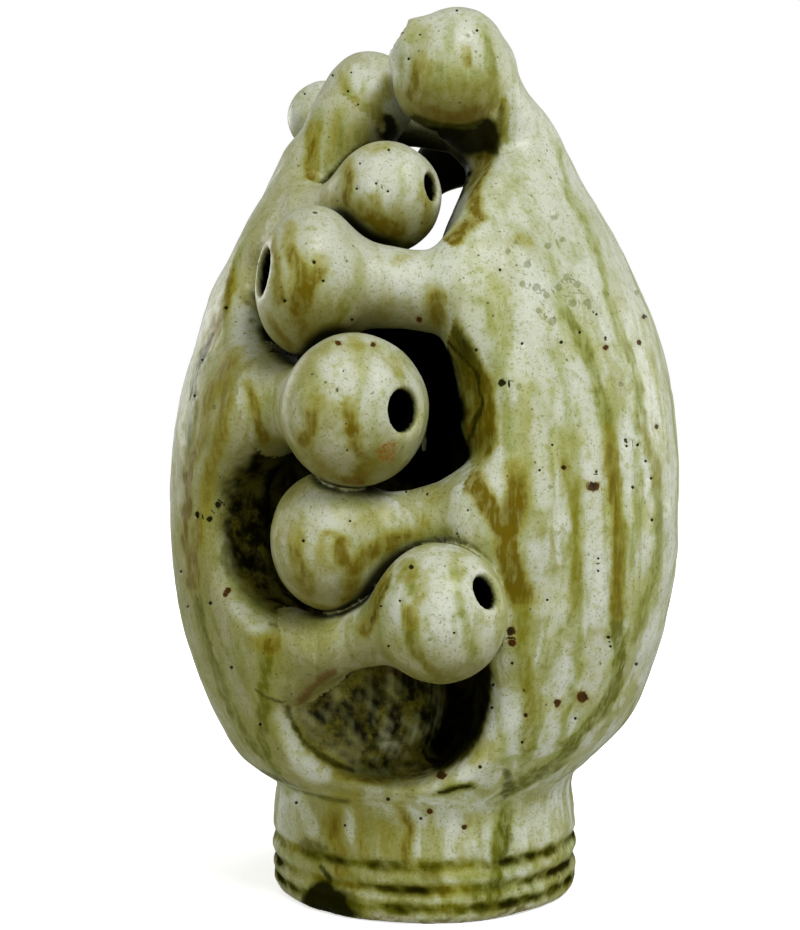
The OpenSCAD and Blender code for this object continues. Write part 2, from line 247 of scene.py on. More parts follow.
# name, root, bulb centre, radius across, half-length, neck radius at root, waist and bulb, hole radius, hole direction
FINGERS = [
    ("left_1", (-29, -42, 61.5), (3.4, -61.5, 73), 14.6, 14.0, 8.5, 6.7, 8.2, 3.4, (0.70, -0.60, 0.40)),
    ("right_1", (14, -49, 93), (-20.2, -47.5, 87), 15.4, 13.4, 10, 8.2, 9.5, 4.0, (-0.80, 0.55, -0.20)),
    ("left_2", (-38, -33, 118), (-14.6, -56, 115.4), 16.2, 14.2, 10.5, 8.8, 9.8, 4.4, (0.78, -0.62, -0.02)),
    ("right_2", (13, -43.5, 141), (-25, -44.5, 144.3), 16.6, 12.2, 10, 8.4, 10, 5.0, (-0.84, -0.54, 0.10)),
    ("left_3", (-31, -21, 158), (-8.2, -34, 164.3), 12.4, 12.2, 9, 7.6, 8.5, 3.0, (0.86, -0.50, 0.12)),
    ("right_3", (16, -18, 190), (5.6, -28, 194.6), 14.2, 13.0, 8, 8.6, 10, 3.8, (-0.84, -0.10, 0.54)),
    ("left_4", (-26, -4, 171), (-13.3, -8, 192.8), 11.2, 11.6, 8.8, 8.4, 8.6, 3.4, (0.60, 0.45, 0.66)),
    ("right_4", (18, 6.2, 188), (-26.0, 12, 193), 8.9, 9.2, 7.6, 5.8, 6.4, 3.0, (-0.62, 0.60, -0.50)),
    ("left_5", (-23.5, 27.5, 161), (10, 23.5, 187.5), 9.4, 9.4, 8.4, 5.8, 6.4, 3.2, (0.60, 0.50, 0.62)),
    ("right_5", (17, 38.5, 150), (-12, 45.5, 150), 12, 11.5, 9, 7.4, 8.4, 4.0, (-0.80, 0.60, 0.05)),
]


def block(lo, hi):
    """Grid slices that cover a box in mm, and its coordinates."""
    s = []
    for axis, a in zip((X, Y, Z), range(3)):
        i = max(0, int((lo[a] - axis[0]) / H))
        j = min(len(axis), int((hi[a] - axis[0]) / H) + 2)
        s.append(slice(i, j))
    gx, gy, gz = np.meshgrid(X[s[0]], Y[s[1]], Z[s[2]], indexing="ij", sparse=True)
    return tuple(s), gx, gy, gz


def finger_fields(f, gx, gy, gz, inset=0.0):
    name, p0, c, b, a, r0, r1, r2, hr, hd = f
    p0, c = np.array(p0, float), np.array(c, float)
    u = unit(c - p0)
    length = np.linalg.norm(c - p0)
    wx, wy, wz = gx - p0[0], gy - p0[1], gz - p0[2]
    t = wx * u[0] + wy * u[1] + wz * u[2]
    off = np.sqrt(np.maximum(wx * wx + wy * wy + wz * wz - t * t, 0))
    s = t / length
    rad = np.interp(s, [-0.35, 0, 0.18, 0.45, 0.7, 1.0], [r0 * 0.8, r0, (r0 + r1) / 2, r1, (r1 + r2) / 2, r2]).astype(np.float32)
    lo_cap, hi_cap = -8.0, length
    out = np.maximum(np.maximum(lo_cap - t, t - hi_cap), 0)
    neck = np.sqrt(out**2 + np.maximum(off - rad, 0) ** 2) + np.minimum(off - rad, 0)
    neck = np.maximum(neck, np.maximum(lo_cap - t, t - hi_cap))
    tx = t - length
    k0 = np.sqrt((tx / a) ** 2 + (off / b) ** 2)
    k1 = np.sqrt((tx / a**2) ** 2 + (off / b**2) ** 2) + 1e-6
    bulb = k0 * (k0 - 1) / k1
    return s, t, off, neck, bulb


HORN = ((23, -8, 174), (10.5, -20.5, 196.8), 9, 8.0)  # the right lobe's tip, which bends over into its third finger
BRACE = ((25.0, -17, 177), (9.0, -25, 191), 7.2, 10.2)  # and the shoulder that fills the crease between them
CHEEK = ((-27, -13, 166), (-19.5, -12, 184), 8, 8.6)  # the left lobe's own tip, under its fourth finger
MOUND = (-16, -19.5, 48.5, 21.5)  # the swelling that one sees through the lowest opening: x, y, z, radius


def capsule(gx, gy, gz, p0, p1, r0, r1):
    p0, p1 = np.array(p0, float), np.array(p1, float)
    d = p1 - p0
    wx, wy, wz = gx - p0[0], gy - p0[1], gz - p0[2]
    t = np.clip((wx * d[0] + wy * d[1] + wz * d[2]) / (d @ d), 0, 1)
    return np.sqrt((wx - t * d[0]) ** 2 + (wy - t * d[1]) ** 2 + (wz - t * d[2]) ** 2) - (r0 + (r1 - r0) * t)


def hole_field(f, gx, gy, gz):
    c, hr, d = np.array(f[2], float), f[8], unit(f[9])
    wx, wy, wz = gx - c[0], gy - c[1], gz - c[2]
    t = wx * d[0] + wy * d[1] + wz * d[2]
    off = np.sqrt(np.maximum(wx * wx + wy * wy + wz * wz - t * t, 0))
    return np.maximum(off - hr, np.maximum(-t, t - 26))


def build_fields():
    zz = np.linspace(FLOOR_Z, 216, 190)
    outer = [(0, FLOOR_Z)] + [(float(max(outer_r(z), 0.5)), z) for z in zz] + [(0, 216)]
    zw = np.linspace(38, 216, 180)
    well = [(0, 38)] + [(float(max(well_r(z), 0.3)), z) for z in zw] + [(0, 216)]
    A = revolve_sd(outer)
    B = revolve_sd(well)
    note("profiles")
    # the right side tucks in more towards the foot, and the left lobe is slimmer near its top
    A += 4.0 * np.exp(-(((Z - 33) / 6.5) ** 2))[None, None, :] * np.clip(X / 55, 0, 1)[:, None, None] ** 1.5
    A += 1.6 * np.exp(-(((Z - 172) / 16) ** 2))[None, None, :] * np.clip(-X / 30, 0, 1)[:, None, None]
    A += 1.2 * np.exp(-(((Z - 131) / 13) ** 2))[None, None, :] * np.clip(-X / 40, 0, 1)[:, None, None]
    # the air space between the walls
    gap = np.maximum(np.maximum(A + 5, 5 - B), (33 - Z)[None, None, :])
    s, gx, gy, gz = block((-2.1, 0, 20), (2.1, 70, 140))
    gap[s] = np.maximum(gap[s], 2 - np.abs(gx))
    M5, M13 = (A + 5.4)[::2, ::2, ::2].copy(), (B - 5.4)[::2, ::2, ::2].copy()
    lump = 0.55 * noise_grid(3, (26, 26, 22)) + 0.28 * noise_grid(4, (9, 9, 7)) + 0.10 * noise_grid(5, (4, 4, 2.5))
    A += lump
    B += 0.8 * noise_grid(6, (20, 20, 16)) + 0.35 * noise_grid(7, (7, 7, 5))
    S = slit_grid()
    S += 0.7 * noise_grid(8, (14, 14, 14))
    # beside the second left finger the slit's right wall leans inwards, so that one sees it from the front
    lean = ease(X, 2, 8)[:, None, None] * ease(-Y, 10, 20)[None, :, None] * (ease(Z, 103, 113) * ease(-Z, -139, -130))[None, None, :]
    S += lean * (1.2 + 6.0 * np.clip((-A - 1) / 13, 0, 1))
    note("slit")
    body = rmax(np.maximum(A, -B), -S, 4.2)
    gap = np.maximum(gap, 5 - S)
    # foot ring with its turned grooves
    foot = [(28.5, 0), (36.0, 0), (37.0, 0.8), (37.6, 2.0), (37.4, 3.4), (37.4, 4.2), (37.8, 5.2), (37.7, 6.3), (36.9, 7.5),
            (36.9, 8.2), (37.6, 9.6), (37.8, 10.4), (37.5, 11.6), (36.8, 12.8), (36.8, 13.6), (37.4, 15.0), (37.4, 17), (37.1, 20),
            (36.6, 24), (36.6, 27), (37.0, 30), (28, 31), (28, 24)]
    F = revolve_sd(foot)
    F += 0.5 * lump + 0.22 * noise_grid(9, (6, 6, 2.2))
    blend = 3.2 + 3.6 * np.exp(-((X / 17) ** 2))[:, None, None] * np.clip(-Y / 30, 0, 1)[None, :, None]
    body = smin(body, F, blend)
    floor = revolve_sd([(0, 28), (31, 28), (31, 36), (0, 36)])
    body = np.minimum(body, floor)
    note("body")
    s, gx, gy, gz = block((4, -40, 160), (46, 12, 210))
    body[s] = smin(smin(body[s], capsule(gx, gy, gz, *HORN), 8), capsule(gx, gy, gz, *BRACE), 5)
    s, gx, gy, gz = block((-45, -32, 148), (-4, 6, 200))
    body[s] = smin(body[s], capsule(gx, gy, gz, *CHEEK), 5)
    s, gx, gy, gz = block((-50, -60, 25), (14, 6, 85))
    body[s] = smin(body[s], ball(gx, gy, gz, MOUND[:3], MOUND[3]) + 0.7 * lump[s], 4)
    solid = body.copy()
    union = np.full(SHAPE, 50, np.float32)
    cav = gap
    rim = lump * 0.8
    shapes = []
    for f in FINGERS:
        name = f[0]
        p0, c = np.array(f[1], float), np.array(f[2], float)
        reach = max(f[3], f[4]) + 9
        lo = np.minimum(p0 - f[5] - 14, c - reach)
        hi = np.maximum(p0 + f[5] + 14, c + reach)
        s, gx, gy, gz = block(lo, hi)
        t, d, off, neck, bulb = finger_fields(f, gx, gy, gz)
        # near its root the finger stays under the lobe's skin, so that it grows out of the lobe without a lump
        q = np.clip((t - 0.05) / 0.5, 0, 1)
        neck = smax(neck, A[s] + 2.5 - 40 * q * q, 4)
        if name == "right_3":  # egg-shaped and upright, with its tone hole on a boss
            bulb = smin(ball(gx, gy, gz, (5.3, -28, 192.5), 12.3), ball(gx, gy, gz, (7.9, -27, 198.7), 10.6), 4)
            bulb = smin(bulb, ball(gx, gy, gz, c + unit(f[9]) * 10.0, 5.8), 4)
        shape = smin(neck, bulb, 5.0) + rim[s]
        q = np.clip((t - 0.15) / 0.45, 0, 1)
        k = 10.0 + ({"right_3": 7.0, "left_4": 7.0}.get(name, 1.0) - 10.0) * q * q * (3 - 2 * q)
        solid[s] = np.minimum(solid[s], smin(body[s], shape, k))
        union[s] = smin(union[s], shape, 1.2)
        shapes.append((s, shape.astype(np.float32), (d - (np.linalg.norm(c - p0) - 0.62 * f[4])).astype(np.float32)))
        inner_b = np.maximum(bulb + 3.8, -(d - np.linalg.norm(c - p0)) - f[4])
        bore = np.maximum(off - 4.0, np.maximum(-9 - d, d - np.linalg.norm(c - p0)))
        cav[s] = np.minimum(cav[s], np.minimum(inner_b, bore))
    solid = np.minimum(solid, union)
    plain = solid.copy()
    note("fingers")
    for f in FINGERS:
        c = np.array(f[2], float)
        s, gx, gy, gz = block(c - 30, c + 30)
        h = hole_field(f, gx, gy, gz)
        solid[s] = smax(solid[s], -h, 1.6)
    # mouthpiece on the rear wall, with its windows, windways and labia
    s, gx, gy, gz = block((-22, 48, 60), (22, 80, 120))
    yy, z2 = np.meshgrid(Y[s[1]], Z[s[2]], indexing="ij")
    beak = poly_sd([(54, 86), (63.5, 86), (68.6, 88.5), (75.8, 110.5), (74.6, 113), (69.6, 114.8), (66.8, 113.6), (61.5, 103), (54, 97)], yy, z2)[None]
    half = np.interp(gz, [84, 95, 112, 116], [17.5, 17.5, 15.5, 13.5])
    beak = rmax(beak - 0.4, np.abs(gx) - half, 3.5)
    beak_at = (s, np.maximum(beak - 2.5, -(A[s] + 1.0)))
    sub = smin(solid[s], beak + 0.5 * lump[s], 5)
    win = np.maximum(np.maximum(np.abs(np.abs(gx) - 9.5) - 6, np.abs(gz - 76) - 8), 50 - gy)
    sub = smax(sub, -win, 0.8)
    wy, wz = gy - 60.4, gz - 84
    ct, st = math.cos(math.radians(18)), math.sin(math.radians(18))
    ly, lz = wy * ct - wz * st, wy * st + wz * ct
    way = np.maximum(np.maximum(np.abs(np.abs(gx) - 9.5) - 5.5, np.abs(ly) - 1.0), -8 - lz)
    sub = np.maximum(sub, -way)
    lab = poly_sd([(50, 68), (64, 68), (58.75, 78), (58.15, 78), (57.2, 74), (50, 74)], yy, z2)[None]
    lab = np.maximum(np.maximum(lab, np.abs(np.abs(gx) - 9.5) - 6), np.maximum(A[s], -5 - A[s]))
    solid[s] = np.minimum(sub, lab)
    cav[s] = np.maximum(cav[s], -(lab - 0.05))
    solid = np.maximum(solid, -Z[None, None, :])
    return np.maximum(solid, -cav), plain, body, shapes, A, B, S, M5, M13, beak_at


def quads_of(field, origin, h):
    """The zero surface of a block of a field: points in mm and outward quads. The block's sides close it."""
    g = vdb.FloatGrid(3 * h)
    g.copyFromArray(np.clip(np.pad(field, 1, constant_values=3 * h), -3 * h, 3 * h).astype(np.float32))
    pts, quads = g.convertToQuads(isovalue=0.0)
    pts = (pts - 1) * h + np.asarray(origin)
    a, b, c, d = (pts[quads[:, i]] for i in range(4))
    vol = np.einsum("ij,ij->i", a, np.cross(b, c)).sum() + np.einsum("ij,ij->i", a, np.cross(c, d)).sum()
    return pts, (quads if vol > 0 else quads[:, ::-1])


def mesh_object(name, verts_mm, faces, link=False):
    me = bpy.data.meshes.new(name)
    verts = np.asarray(verts_mm, np.float32) * 0.001
    faces = np.asarray(faces, np.int32)
    me.vertices.add(len(verts))
    me.vertices.foreach_set("co", verts.ravel())
    n = faces.shape[1]
    me.loops.add(len(faces) * n)
    me.loops.foreach_set("vertex_index", faces.ravel())
    me.polygons.add(len(faces))
    me.polygons.foreach_set("loop_start", np.arange(0, len(faces) * n, n, dtype=np.int32))
    me.polygons.foreach_set("loop_total", np.full(len(faces), n, np.int32))
    me.update(calc_edges=True)
    ob = bpy.data.objects.new(name, me)
    bpy.context.scene.collection.objects.link(ob)
    return ob


def corner(s):
    return X[s[0]][0], Y[s[1]][0], Z[s[2]][0]


def solid_of(name, field, s, h=None):
    return mesh_object(name, *quads_of(field, corner(s), h or H))


def boxed(name, lo, hi):
    (x0, y0, z0), (x1, y1, z1) = lo, hi
    v = [(x, y, z) for x in (x0, x1) for y in (y0, y1) for z in (z0, z1)]
    f = [(0, 1, 3, 2), (4, 6, 7, 5), (0, 4, 5, 1), (2, 3, 7, 6), (0, 2, 6, 4), (1, 5, 7, 3)]
    return mesh_object(name, v, f)


def drum(name, r, z0, z1, n=96):
    a = np.linspace(0, 2 * np.pi, n, endpoint=False)
    c = np.stack([r * np.cos(a), r * np.sin(a)], 1)
    v = np.concatenate([np.c_[c, np.full(n, z0)], np.c_[c, np.full(n, z1)], [[0, 0, z0], [0, 0, z1]]])
    i, j = np.arange(n), (np.arange(n) + 1) % n
    f = np.concatenate([np.c_[i, j, j + n], np.c_[i, j + n, i + n], np.c_[j, i, 0 * i + 2 * n], np.c_[i + n, j + n, 0 * i + 2 * n + 1]])
    return mesh_object(name, v, f)


def cut(ob, tool, operation, name=None):
    """A new mesh for ob after a boolean with tool; ob itself is left alone when a name is given."""
    out = ob
    if name:
        out = bpy.data.objects.new(name, ob.data.copy())
        out.data.name = name
        bpy.context.scene.collection.objects.link(out)
    m = out.modifiers.new("cut", "BOOLEAN")
    m.operation, m.object, m.solver = operation, tool, "MANIFOLD"
    dg = bpy.context.evaluated_depsgraph_get()
    me = bpy.data.meshes.new_from_object(out.evaluated_get(dg))
    old = out.data
    out.modifiers.clear()
    out.data = me
    me.name = out.name
    bpy.data.meshes.remove(old)
    return out


def drop(*obs):
    for ob in obs:
        me = ob.data
        bpy.data.objects.remove(ob)
        bpy.data.meshes.remove(me)


solid, plain, body, shapes, FA, FB, FS, M5, M13, beak_at = build_fields()
note("solid")
EVERY = (slice(0, SHAPE[0]), slice(0, SHAPE[1]), slice(0, SHAPE[2]))
pieces = {}


def split_off(rest, tool, name):
    """Moves the part of rest inside tool to a piece of its own."""
    pieces[name] = cut(rest, tool, "INTERSECT", name)
    cut(rest, tool, "DIFFERENCE")
    drop(tool)
    note(f"{name}: {len(pieces[name].data.polygons)} faces, {len(rest.data.polygons)} left")


def build_pieces():
    whole = solid_of("whole", solid, EVERY)
    note(f"whole: {len(whole.data.polygons)} faces")
    everything = np.full(SHAPE, 3 * H, np.float32)
    for k, f in enumerate(FINGERS):
        s, shape, along = shapes[k]
        other = body[s].copy()
        for j, (t, sj, _) in enumerate(shapes):
            if j == k:
                continue
            lo = [max(a.start, b.start) for a, b in zip(s, t)]
            hi = [min(a.stop, b.stop) for a, b in zip(s, t)]
            if all(p < q for p, q in zip(lo, hi)):
                mine = tuple(slice(p - a.start, q - a.start) for p, q, a in zip(lo, hi, s))
                theirs = tuple(slice(p - a.start, q - a.start) for p, q, a in zip(lo, hi, t))
                other[mine] = np.minimum(other[mine], sj[theirs])
        region = np.maximum(0.5 * (shape - other), shape - 2.5)
        everything[s] = np.minimum(everything[s], region)
        chunk = solid_of("chunk", solid[s], s)
        side, n = f[0].split("_")
        tool = solid_of("tool", region, s)
        finger = cut(chunk, tool, "INTERSECT", "finger")
        drop(tool, chunk)
        split_off(finger, solid_of("half", np.maximum(shape - 6, -along), s), f"{side}_bulb_{n}")
        pieces[f"{side}_neck_{n}"] = finger
    tool = solid_of("tool", everything, EVERY)
    rest = cut(whole, tool, "DIFFERENCE", "rest")
    drop(tool, whole)
    note(f"body: {len(rest.data.polygons)} faces")
    split_off(rest, solid_of("tool", beak_at[1], beak_at[0]), "mouthpiece")
    split_off(rest, boxed("tool", (3.6, 48, 68.1), (15.4, 68, 83.9)), "left_labium")
    split_off(rest, boxed("tool", (-15.4, 48, 68.1), (-3.6, 68, 83.9)), "right_labium")
    split_off(rest, boxed("tool", (-90, -90, -5), (90, 90, 28)), "foot_ring")
    split_off(rest, drum("tool", 30, 20, 33), "foot_floor")
    core = mesh_object("core", *quads_of(np.maximum(M5, (33 - Z[::2])[None, None, :]), (X[0], Y[0], Z[0]), 2 * H))
    inner = cut(rest, core, "INTERSECT", "inner")
    cut(rest, core, "DIFFERENCE")
    drop(core)
    split_off(rest, boxed("tool", (-90, -90, -5), (90, 90, 117)), "bowl_wall")
    split_off(rest, boxed("tool", (-90, -90, 100), (0, 90, 230)), "left_dome_wall")
    pieces["right_dome_wall"] = rest
    core = mesh_object("core", *quads_of(M13, (X[0], Y[0], Z[0]), 2 * H))
    liner = cut(inner, core, "INTERSECT", "liner")
    cut(inner, core, "DIFFERENCE")
    drop(core)
    split_off(liner, boxed("tool", (-90, -90, -5), (90, 90, 117)), "well_bowl")
    split_off(liner, boxed("tool", (-90, -90, 100), (0, 90, 230)), "left_well_wall")
    pieces["right_well_wall"] = liner
    split_off(inner, boxed("tool", (-3, 12, 20), (3, 80, 137)), "rear_septum")
    split_off(inner, boxed("tool", (-80, -80, 172), (-22, 80, 230)), "left_top_cap")
    rear = cut(inner, boxed("tool", (-90, 0, 0), (90, 90, 230)), "INTERSECT", "rear")
    cut(inner, bpy.data.objects["tool"], "DIFFERENCE")
    drop(bpy.data.objects["tool"])
    split_off(inner, boxed("tool", (-90, -90, 0), (-4, 90, 230)), "left_front_rim")
    pieces["right_front_rim"] = inner
    split_off(rear, boxed("tool", (-90, -90, 0), (0, 90, 230)), "left_rear_rim")
    pieces["right_rear_rim"] = rear


build_pieces()
note("pieces")

# ------------------------------------------------------------------ glaze runs and specks
# Painted on the front as one sees it from the camera's height: x and z in mm on the plane y = 0.
# Each run has what it lies on (0 the body, 1..10 the fingers as listed above), what it is (o olive, a amber,
# r red-brown, d nearly black: nearly black glaze, and painted shade under and between the fingers; p pale: pale glaze,
# and painted highlights on the lobes, the bulbs and the foot's ridges), its strength, its width in mm and its course;
# each row of specks has a radius in mm.
RUNS = [
        (0, "o", 0.35, 3.4, [(23.8, 179.8), (24.2, 173.5), (25.0, 169.8), (27.0, 166.2), (29.5, 163.2), (31.2,
        159.8), (32.2, 156.0), (33.0, 151.0), (34.0, 146.8)]),
        (0, "o", 0.75, 3.6, [(33.0, 145.2), (35.5, 141.0), (38.0, 136.8), (40.8, 131.8), (42.5, 126.8), (43.5,
        122.2), (45.0, 117.2), (46.2, 112.2), (47.2, 106.0), (47.8, 99.8)]),
        (0, "o", 0.90, 3.4, [(47.2, 106.0), (47.8, 99.8), (48.2, 93.5), (48.8, 86.0), (48.5, 78.5), (48.2, 72.2),
        (48.0, 67.2), (48.2, 61.0), (49.0, 56.0), (48.2, 50.2), (46.8, 46.0), (44.5, 42.2), (41.2, 39.2), (38.2,
        35.5), (34.8, 31.0), (30.8, 27.5), (26.0, 24.5), (22.5, 22.2)]),
        (0, "a", 0.75, 3.1, [(46.2, 111.8), (47.0, 106.0), (47.5, 98.5), (48.0, 91.0), (48.5, 84.8), (48.2, 78.5),
        (48.0, 72.2), (48.0, 66.8)]),
        (0, "o", 0.60, 2.2, [(32.8, 183.5), (34.5, 177.8), (36.0, 172.2), (37.5, 167.8), (39.8, 164.2), (41.8,
        159.8), (43.5, 155.2), (44.8, 151.0), (45.5, 146.0), (47.2, 141.0), (48.5, 136.8)]),
        (0, "o", 0.70, 2.5, [(48.5, 136.8), (50.8, 133.0), (52.2, 128.5), (53.2, 123.5), (53.5, 118.5), (54.0,
        113.5), (55.8, 109.0), (57.2, 105.2), (58.2, 99.8), (58.8, 92.2), (58.5, 84.8), (57.8, 78.5), (56.5,
        72.8), (54.5, 66.8), (52.8, 59.8)]),
    (0, "a", 0.40, 1.7, [(54.0, 112.8), (56.0, 108.0), (57.8, 103.5), (58.2, 98.5)]),
        (0, "o", 0.55, 2.2, [(54.0, 112.2), (53.2, 107.2), (53.2, 101.0), (54.0, 94.8), (53.2, 87.8), (51.8,
        82.8), (50.8, 77.2), (49.5, 71.8)]),
    (0, "o", 0.40, 1.7, [(47.0, 136.0), (48.5, 132.2), (49.5, 128.5), (52.0, 124.0)]),
        (0, "o", 0.45, 2.8, [(31.0, 134.8), (32.8, 131.0), (34.5, 126.8), (35.8, 122.2), (36.0, 117.2), (35.5,
        112.2), (34.8, 107.2)]),
        (0, "o", 0.75, 3.1, [(34.8, 107.8), (35.5, 103.2), (37.0, 98.5), (37.8, 92.2), (37.2, 86.0), (37.8, 79.8),
        (38.5, 73.5), (38.2, 68.5), (37.2, 64.2)]),
        (0, "a", 0.40, 2.8, [(35.2, 104.8), (36.8, 99.8), (37.5, 94.8), (37.5, 87.2), (37.8, 79.8), (38.0, 72.2),
        (37.5, 66.8)]),
        (0, "o", 0.60, 2.8, [(36.5, 64.8), (34.0, 61.2), (32.0, 56.8), (30.2, 52.2), (28.5, 47.2), (27.0, 41.8),
        (26.5, 35.2), (25.5, 29.8), (23.8, 25.2), (21.0, 21.0)]),
    (0, "a", 0.30, 2.8, [(30.2, 52.8), (28.0, 46.8), (26.8, 41.0), (26.2, 34.2)]),
        (0, "o", 0.60, 2.2, [(37.8, 64.2), (38.8, 57.8), (38.2, 50.2), (37.0, 44.8), (35.5, 39.8), (34.5, 34.0),
        (31.5, 28.5)]),
    (0, "o", 0.55, 2.2, [(48.5, 49.8), (45.5, 43.8), (41.5, 40.8), (39.8, 37.2)]),
        (0, "a", 0.90, 2.8, [(1.8, 144.8), (4.2, 140.2), (6.2, 136.0), (8.8, 132.2), (11.5, 129.5), (14.0, 126.0),
        (15.8, 122.2), (16.0, 119.2), (14.5, 115.8), (13.2, 112.2), (11.2, 109.0), (7.8, 106.0), (3.0, 103.2),
        (-2.2, 100.8)]),
        (0, "d", 0.70, 1.0, [(3.0, 139.2), (5.5, 134.8), (9.0, 131.2), (12.5, 127.2), (14.0, 123.5), (15.0,
        119.8), (13.5, 116.2), (12.5, 112.2), (10.5, 108.8)]),
    (0, "o", 0.50, 2.5, [(11.5, 146.0), (16.5, 143.5), (17.0, 137.2), (17.5, 131.0), (17.0, 124.8), (16.5, 118.5)]),
        (0, "o", 0.50, 3.9, [(15.8, 152.2), (19.8, 144.8), (21.0, 137.2), (19.8, 132.2), (18.8, 126.8), (19.8,
        119.8), (20.5, 113.5)]),
    (0, "o", 0.65, 3.4, [(20.5, 113.5), (21.5, 109.2), (22.5, 104.8), (23.0, 99.8), (22.8, 94.8)]),
    (0, "a", 1.00, 5.3, [(22.5, 102.2), (22.5, 100.2), (22.5, 95.5), (21.5, 91.0), (20.5, 87.2)]),
    (0, "a", 1.00, 4.8, [(9.8, 102.8), (10.8, 100.8), (13.0, 97.8), (15.5, 94.0), (18.2, 90.5), (20.2, 86.8)]),
    (0, "a", 1.00, 5.6, [(20.2, 90.2), (20.2, 87.8), (20.5, 82.8), (21.2, 78.5), (22.8, 74.8), (23.8, 70.5)]),
        (0, "o", 0.75, 4.5, [(23.2, 72.2), (24.5, 66.8), (24.2, 59.8), (24.8, 54.8), (25.8, 49.2), (26.2, 44.2),
        (26.5, 39.2), (26.0, 33.5)]),
    (0, "a", 0.40, 3.4, [(23.2, 71.8), (24.8, 67.2), (25.0, 59.8), (26.2, 47.2), (26.8, 41.0)]),
    (0, "o", 0.30, 3.9, [(11.5, 158.5), (12.8, 153.5), (14.5, 148.5), (18.0, 144.8)]),
    (0, "a", 0.35, 2.5, [(1.8, 154.2), (2.5, 148.5), (3.0, 143.5)]),
    (0, "o", 0.40, 2.0, [(54.0, 137.2), (56.5, 129.8), (58.2, 124.2), (59.5, 119.2), (60.0, 112.2), (60.5, 104.8)]),
    (0, "o", 0.25, 2.0, [(30.2, 92.2), (29.8, 84.8), (30.2, 79.8), (32.0, 74.8)]),
    (0, "o", 0.45, 2.8, [(17.5, 47.2), (18.8, 39.8), (19.5, 34.2), (21.0, 28.5), (20.2, 23.5)]),
    (0, "o", 0.40, 4.5, [(20.2, 58.5), (22.8, 56.0), (24.0, 51.8)]),
    (0, "o", 0.30, 2.8, [(26.5, 123.5), (29.0, 119.8), (30.2, 116.0)]),
    (0, "o", 0.35, 3.9, [(37.8, 157.2), (38.5, 155.2)]),
    (0, "o", 0.35, 4.5, [(37.8, 114.8), (34.0, 111.0)]),
    (0, "o", 0.70, 3.9, [(54.0, 116.0), (53.5, 112.2)]),
    (0, "o", 0.30, 1.7, [(46.5, 167.2), (50.2, 159.8), (54.0, 151.0), (56.0, 144.8)]),
    (0, "o", 0.25, 1.4, [(50.2, 157.2), (54.0, 149.8), (56.5, 142.2), (58.0, 133.5)]),
        (0, "a", 0.90, 3.1, [(16.0, 187.8), (15.5, 182.2), (14.2, 176.8), (12.8, 172.2), (13.2, 167.8), (13.8,
        165.2), (11.0, 162.8), (7.8, 160.2), (4.8, 157.8)]),
    (0, "d", 0.50, 1.8, [(19.0, 192.2), (18.8, 187.2), (18.2, 182.8)]),
    (0, "a", 0.70, 3.4, [(17.0, 198.5), (17.5, 194.8), (19.0, 191.0), (18.5, 186.0)]),
    (0, "o", 0.40, 2.2, [(19.0, 204.8), (18.8, 199.8), (19.5, 194.8)]),
    (0, "o", 0.40, 3.4, [(22.8, 179.8), (22.8, 174.8), (20.2, 169.8)]),
    (0, "o", 0.30, 2.2, [(19.0, 164.2), (22.8, 162.8), (26.5, 161.0)]),
    (0, "a", 0.40, 2.2, [(21.5, 159.2), (24.0, 160.2), (26.5, 159.0)]),
    (0, "a", 0.35, 3.4, [(11.5, 36.0), (15.2, 34.2), (12.8, 29.8)]),
    (0, "d", 0.75, 1.2, [(4.2, 21.5), (7.0, 22.2), (9.5, 23.0), (11.5, 23.2)]),
    (0, "o", 0.90, 2.5, [(3.5, 21.2), (7.0, 22.2), (9.5, 23.0), (12.5, 23.2)]),
    (0, "d", 0.55, 2.2, [(20.2, 26.8), (22.0, 24.8), (20.2, 21.0)]),
        (0, "a", 0.75, 2.5, [(4.2, 47.2), (5.8, 43.5), (5.2, 38.5), (3.5, 34.2), (2.0, 30.8), (-1.0, 27.2), (-4.8,
        25.2)]),
    (0, "o", 0.35, 2.5, [(-40.5, 168.5), (-43.0, 163.5), (-45.2, 159.0), (-47.5, 154.2)]),
        (0, "a", 0.75, 2.0, [(-48.0, 152.2), (-48.5, 149.0), (-48.8, 145.8), (-49.5, 143.2), (-51.2, 140.2),
        (-52.8, 136.8), (-54.2, 133.5)]),
        (0, "o", 0.85, 2.8, [(-48.2, 153.5), (-49.0, 144.8), (-52.8, 136.0), (-55.2, 131.0), (-56.8, 126.0),
        (-57.8, 121.0), (-58.2, 114.8), (-59.0, 108.5), (-59.2, 102.2), (-59.2, 94.8), (-60.0, 89.2), (-60.2,
        85.2)]),
        (0, "a", 0.85, 2.5, [(-58.5, 106.0), (-59.2, 99.8), (-59.2, 93.5), (-60.0, 88.5), (-60.0, 84.8), (-58.5,
        80.8), (-58.0, 76.8), (-57.5, 73.2)]),
    (0, "d", 0.55, 1.2, [(-53.0, 136.0), (-55.2, 131.8), (-57.0, 125.8), (-58.0, 120.2)]),
        (0, "o", 0.80, 2.8, [(-57.8, 74.8), (-56.8, 69.8), (-55.8, 64.8), (-54.2, 59.8), (-52.8, 54.8), (-51.0,
        49.2), (-49.0, 44.2), (-47.0, 39.8), (-44.2, 34.8), (-40.8, 30.5), (-37.0, 27.0)]),
    (0, "d", 0.35, 1.0, [(-56.8, 69.8), (-55.0, 62.2), (-52.8, 56.0)]),
        (0, "a", 0.75, 2.5, [(-46.2, 131.8), (-49.0, 129.0), (-51.2, 126.0), (-53.2, 123.0), (-54.5, 119.2),
        (-55.2, 115.2), (-55.5, 111.5), (-56.8, 107.8), (-58.5, 104.2)]),
        (0, "a", 0.70, 2.8, [(-50.5, 130.2), (-50.2, 124.8), (-49.8, 119.2), (-50.5, 114.2), (-50.8, 109.8),
        (-51.8, 106.5), (-53.2, 103.8), (-53.5, 99.8), (-54.5, 95.5), (-55.5, 91.5), (-56.8, 87.2), (-57.5, 83.5),
        (-58.0, 79.8)]),
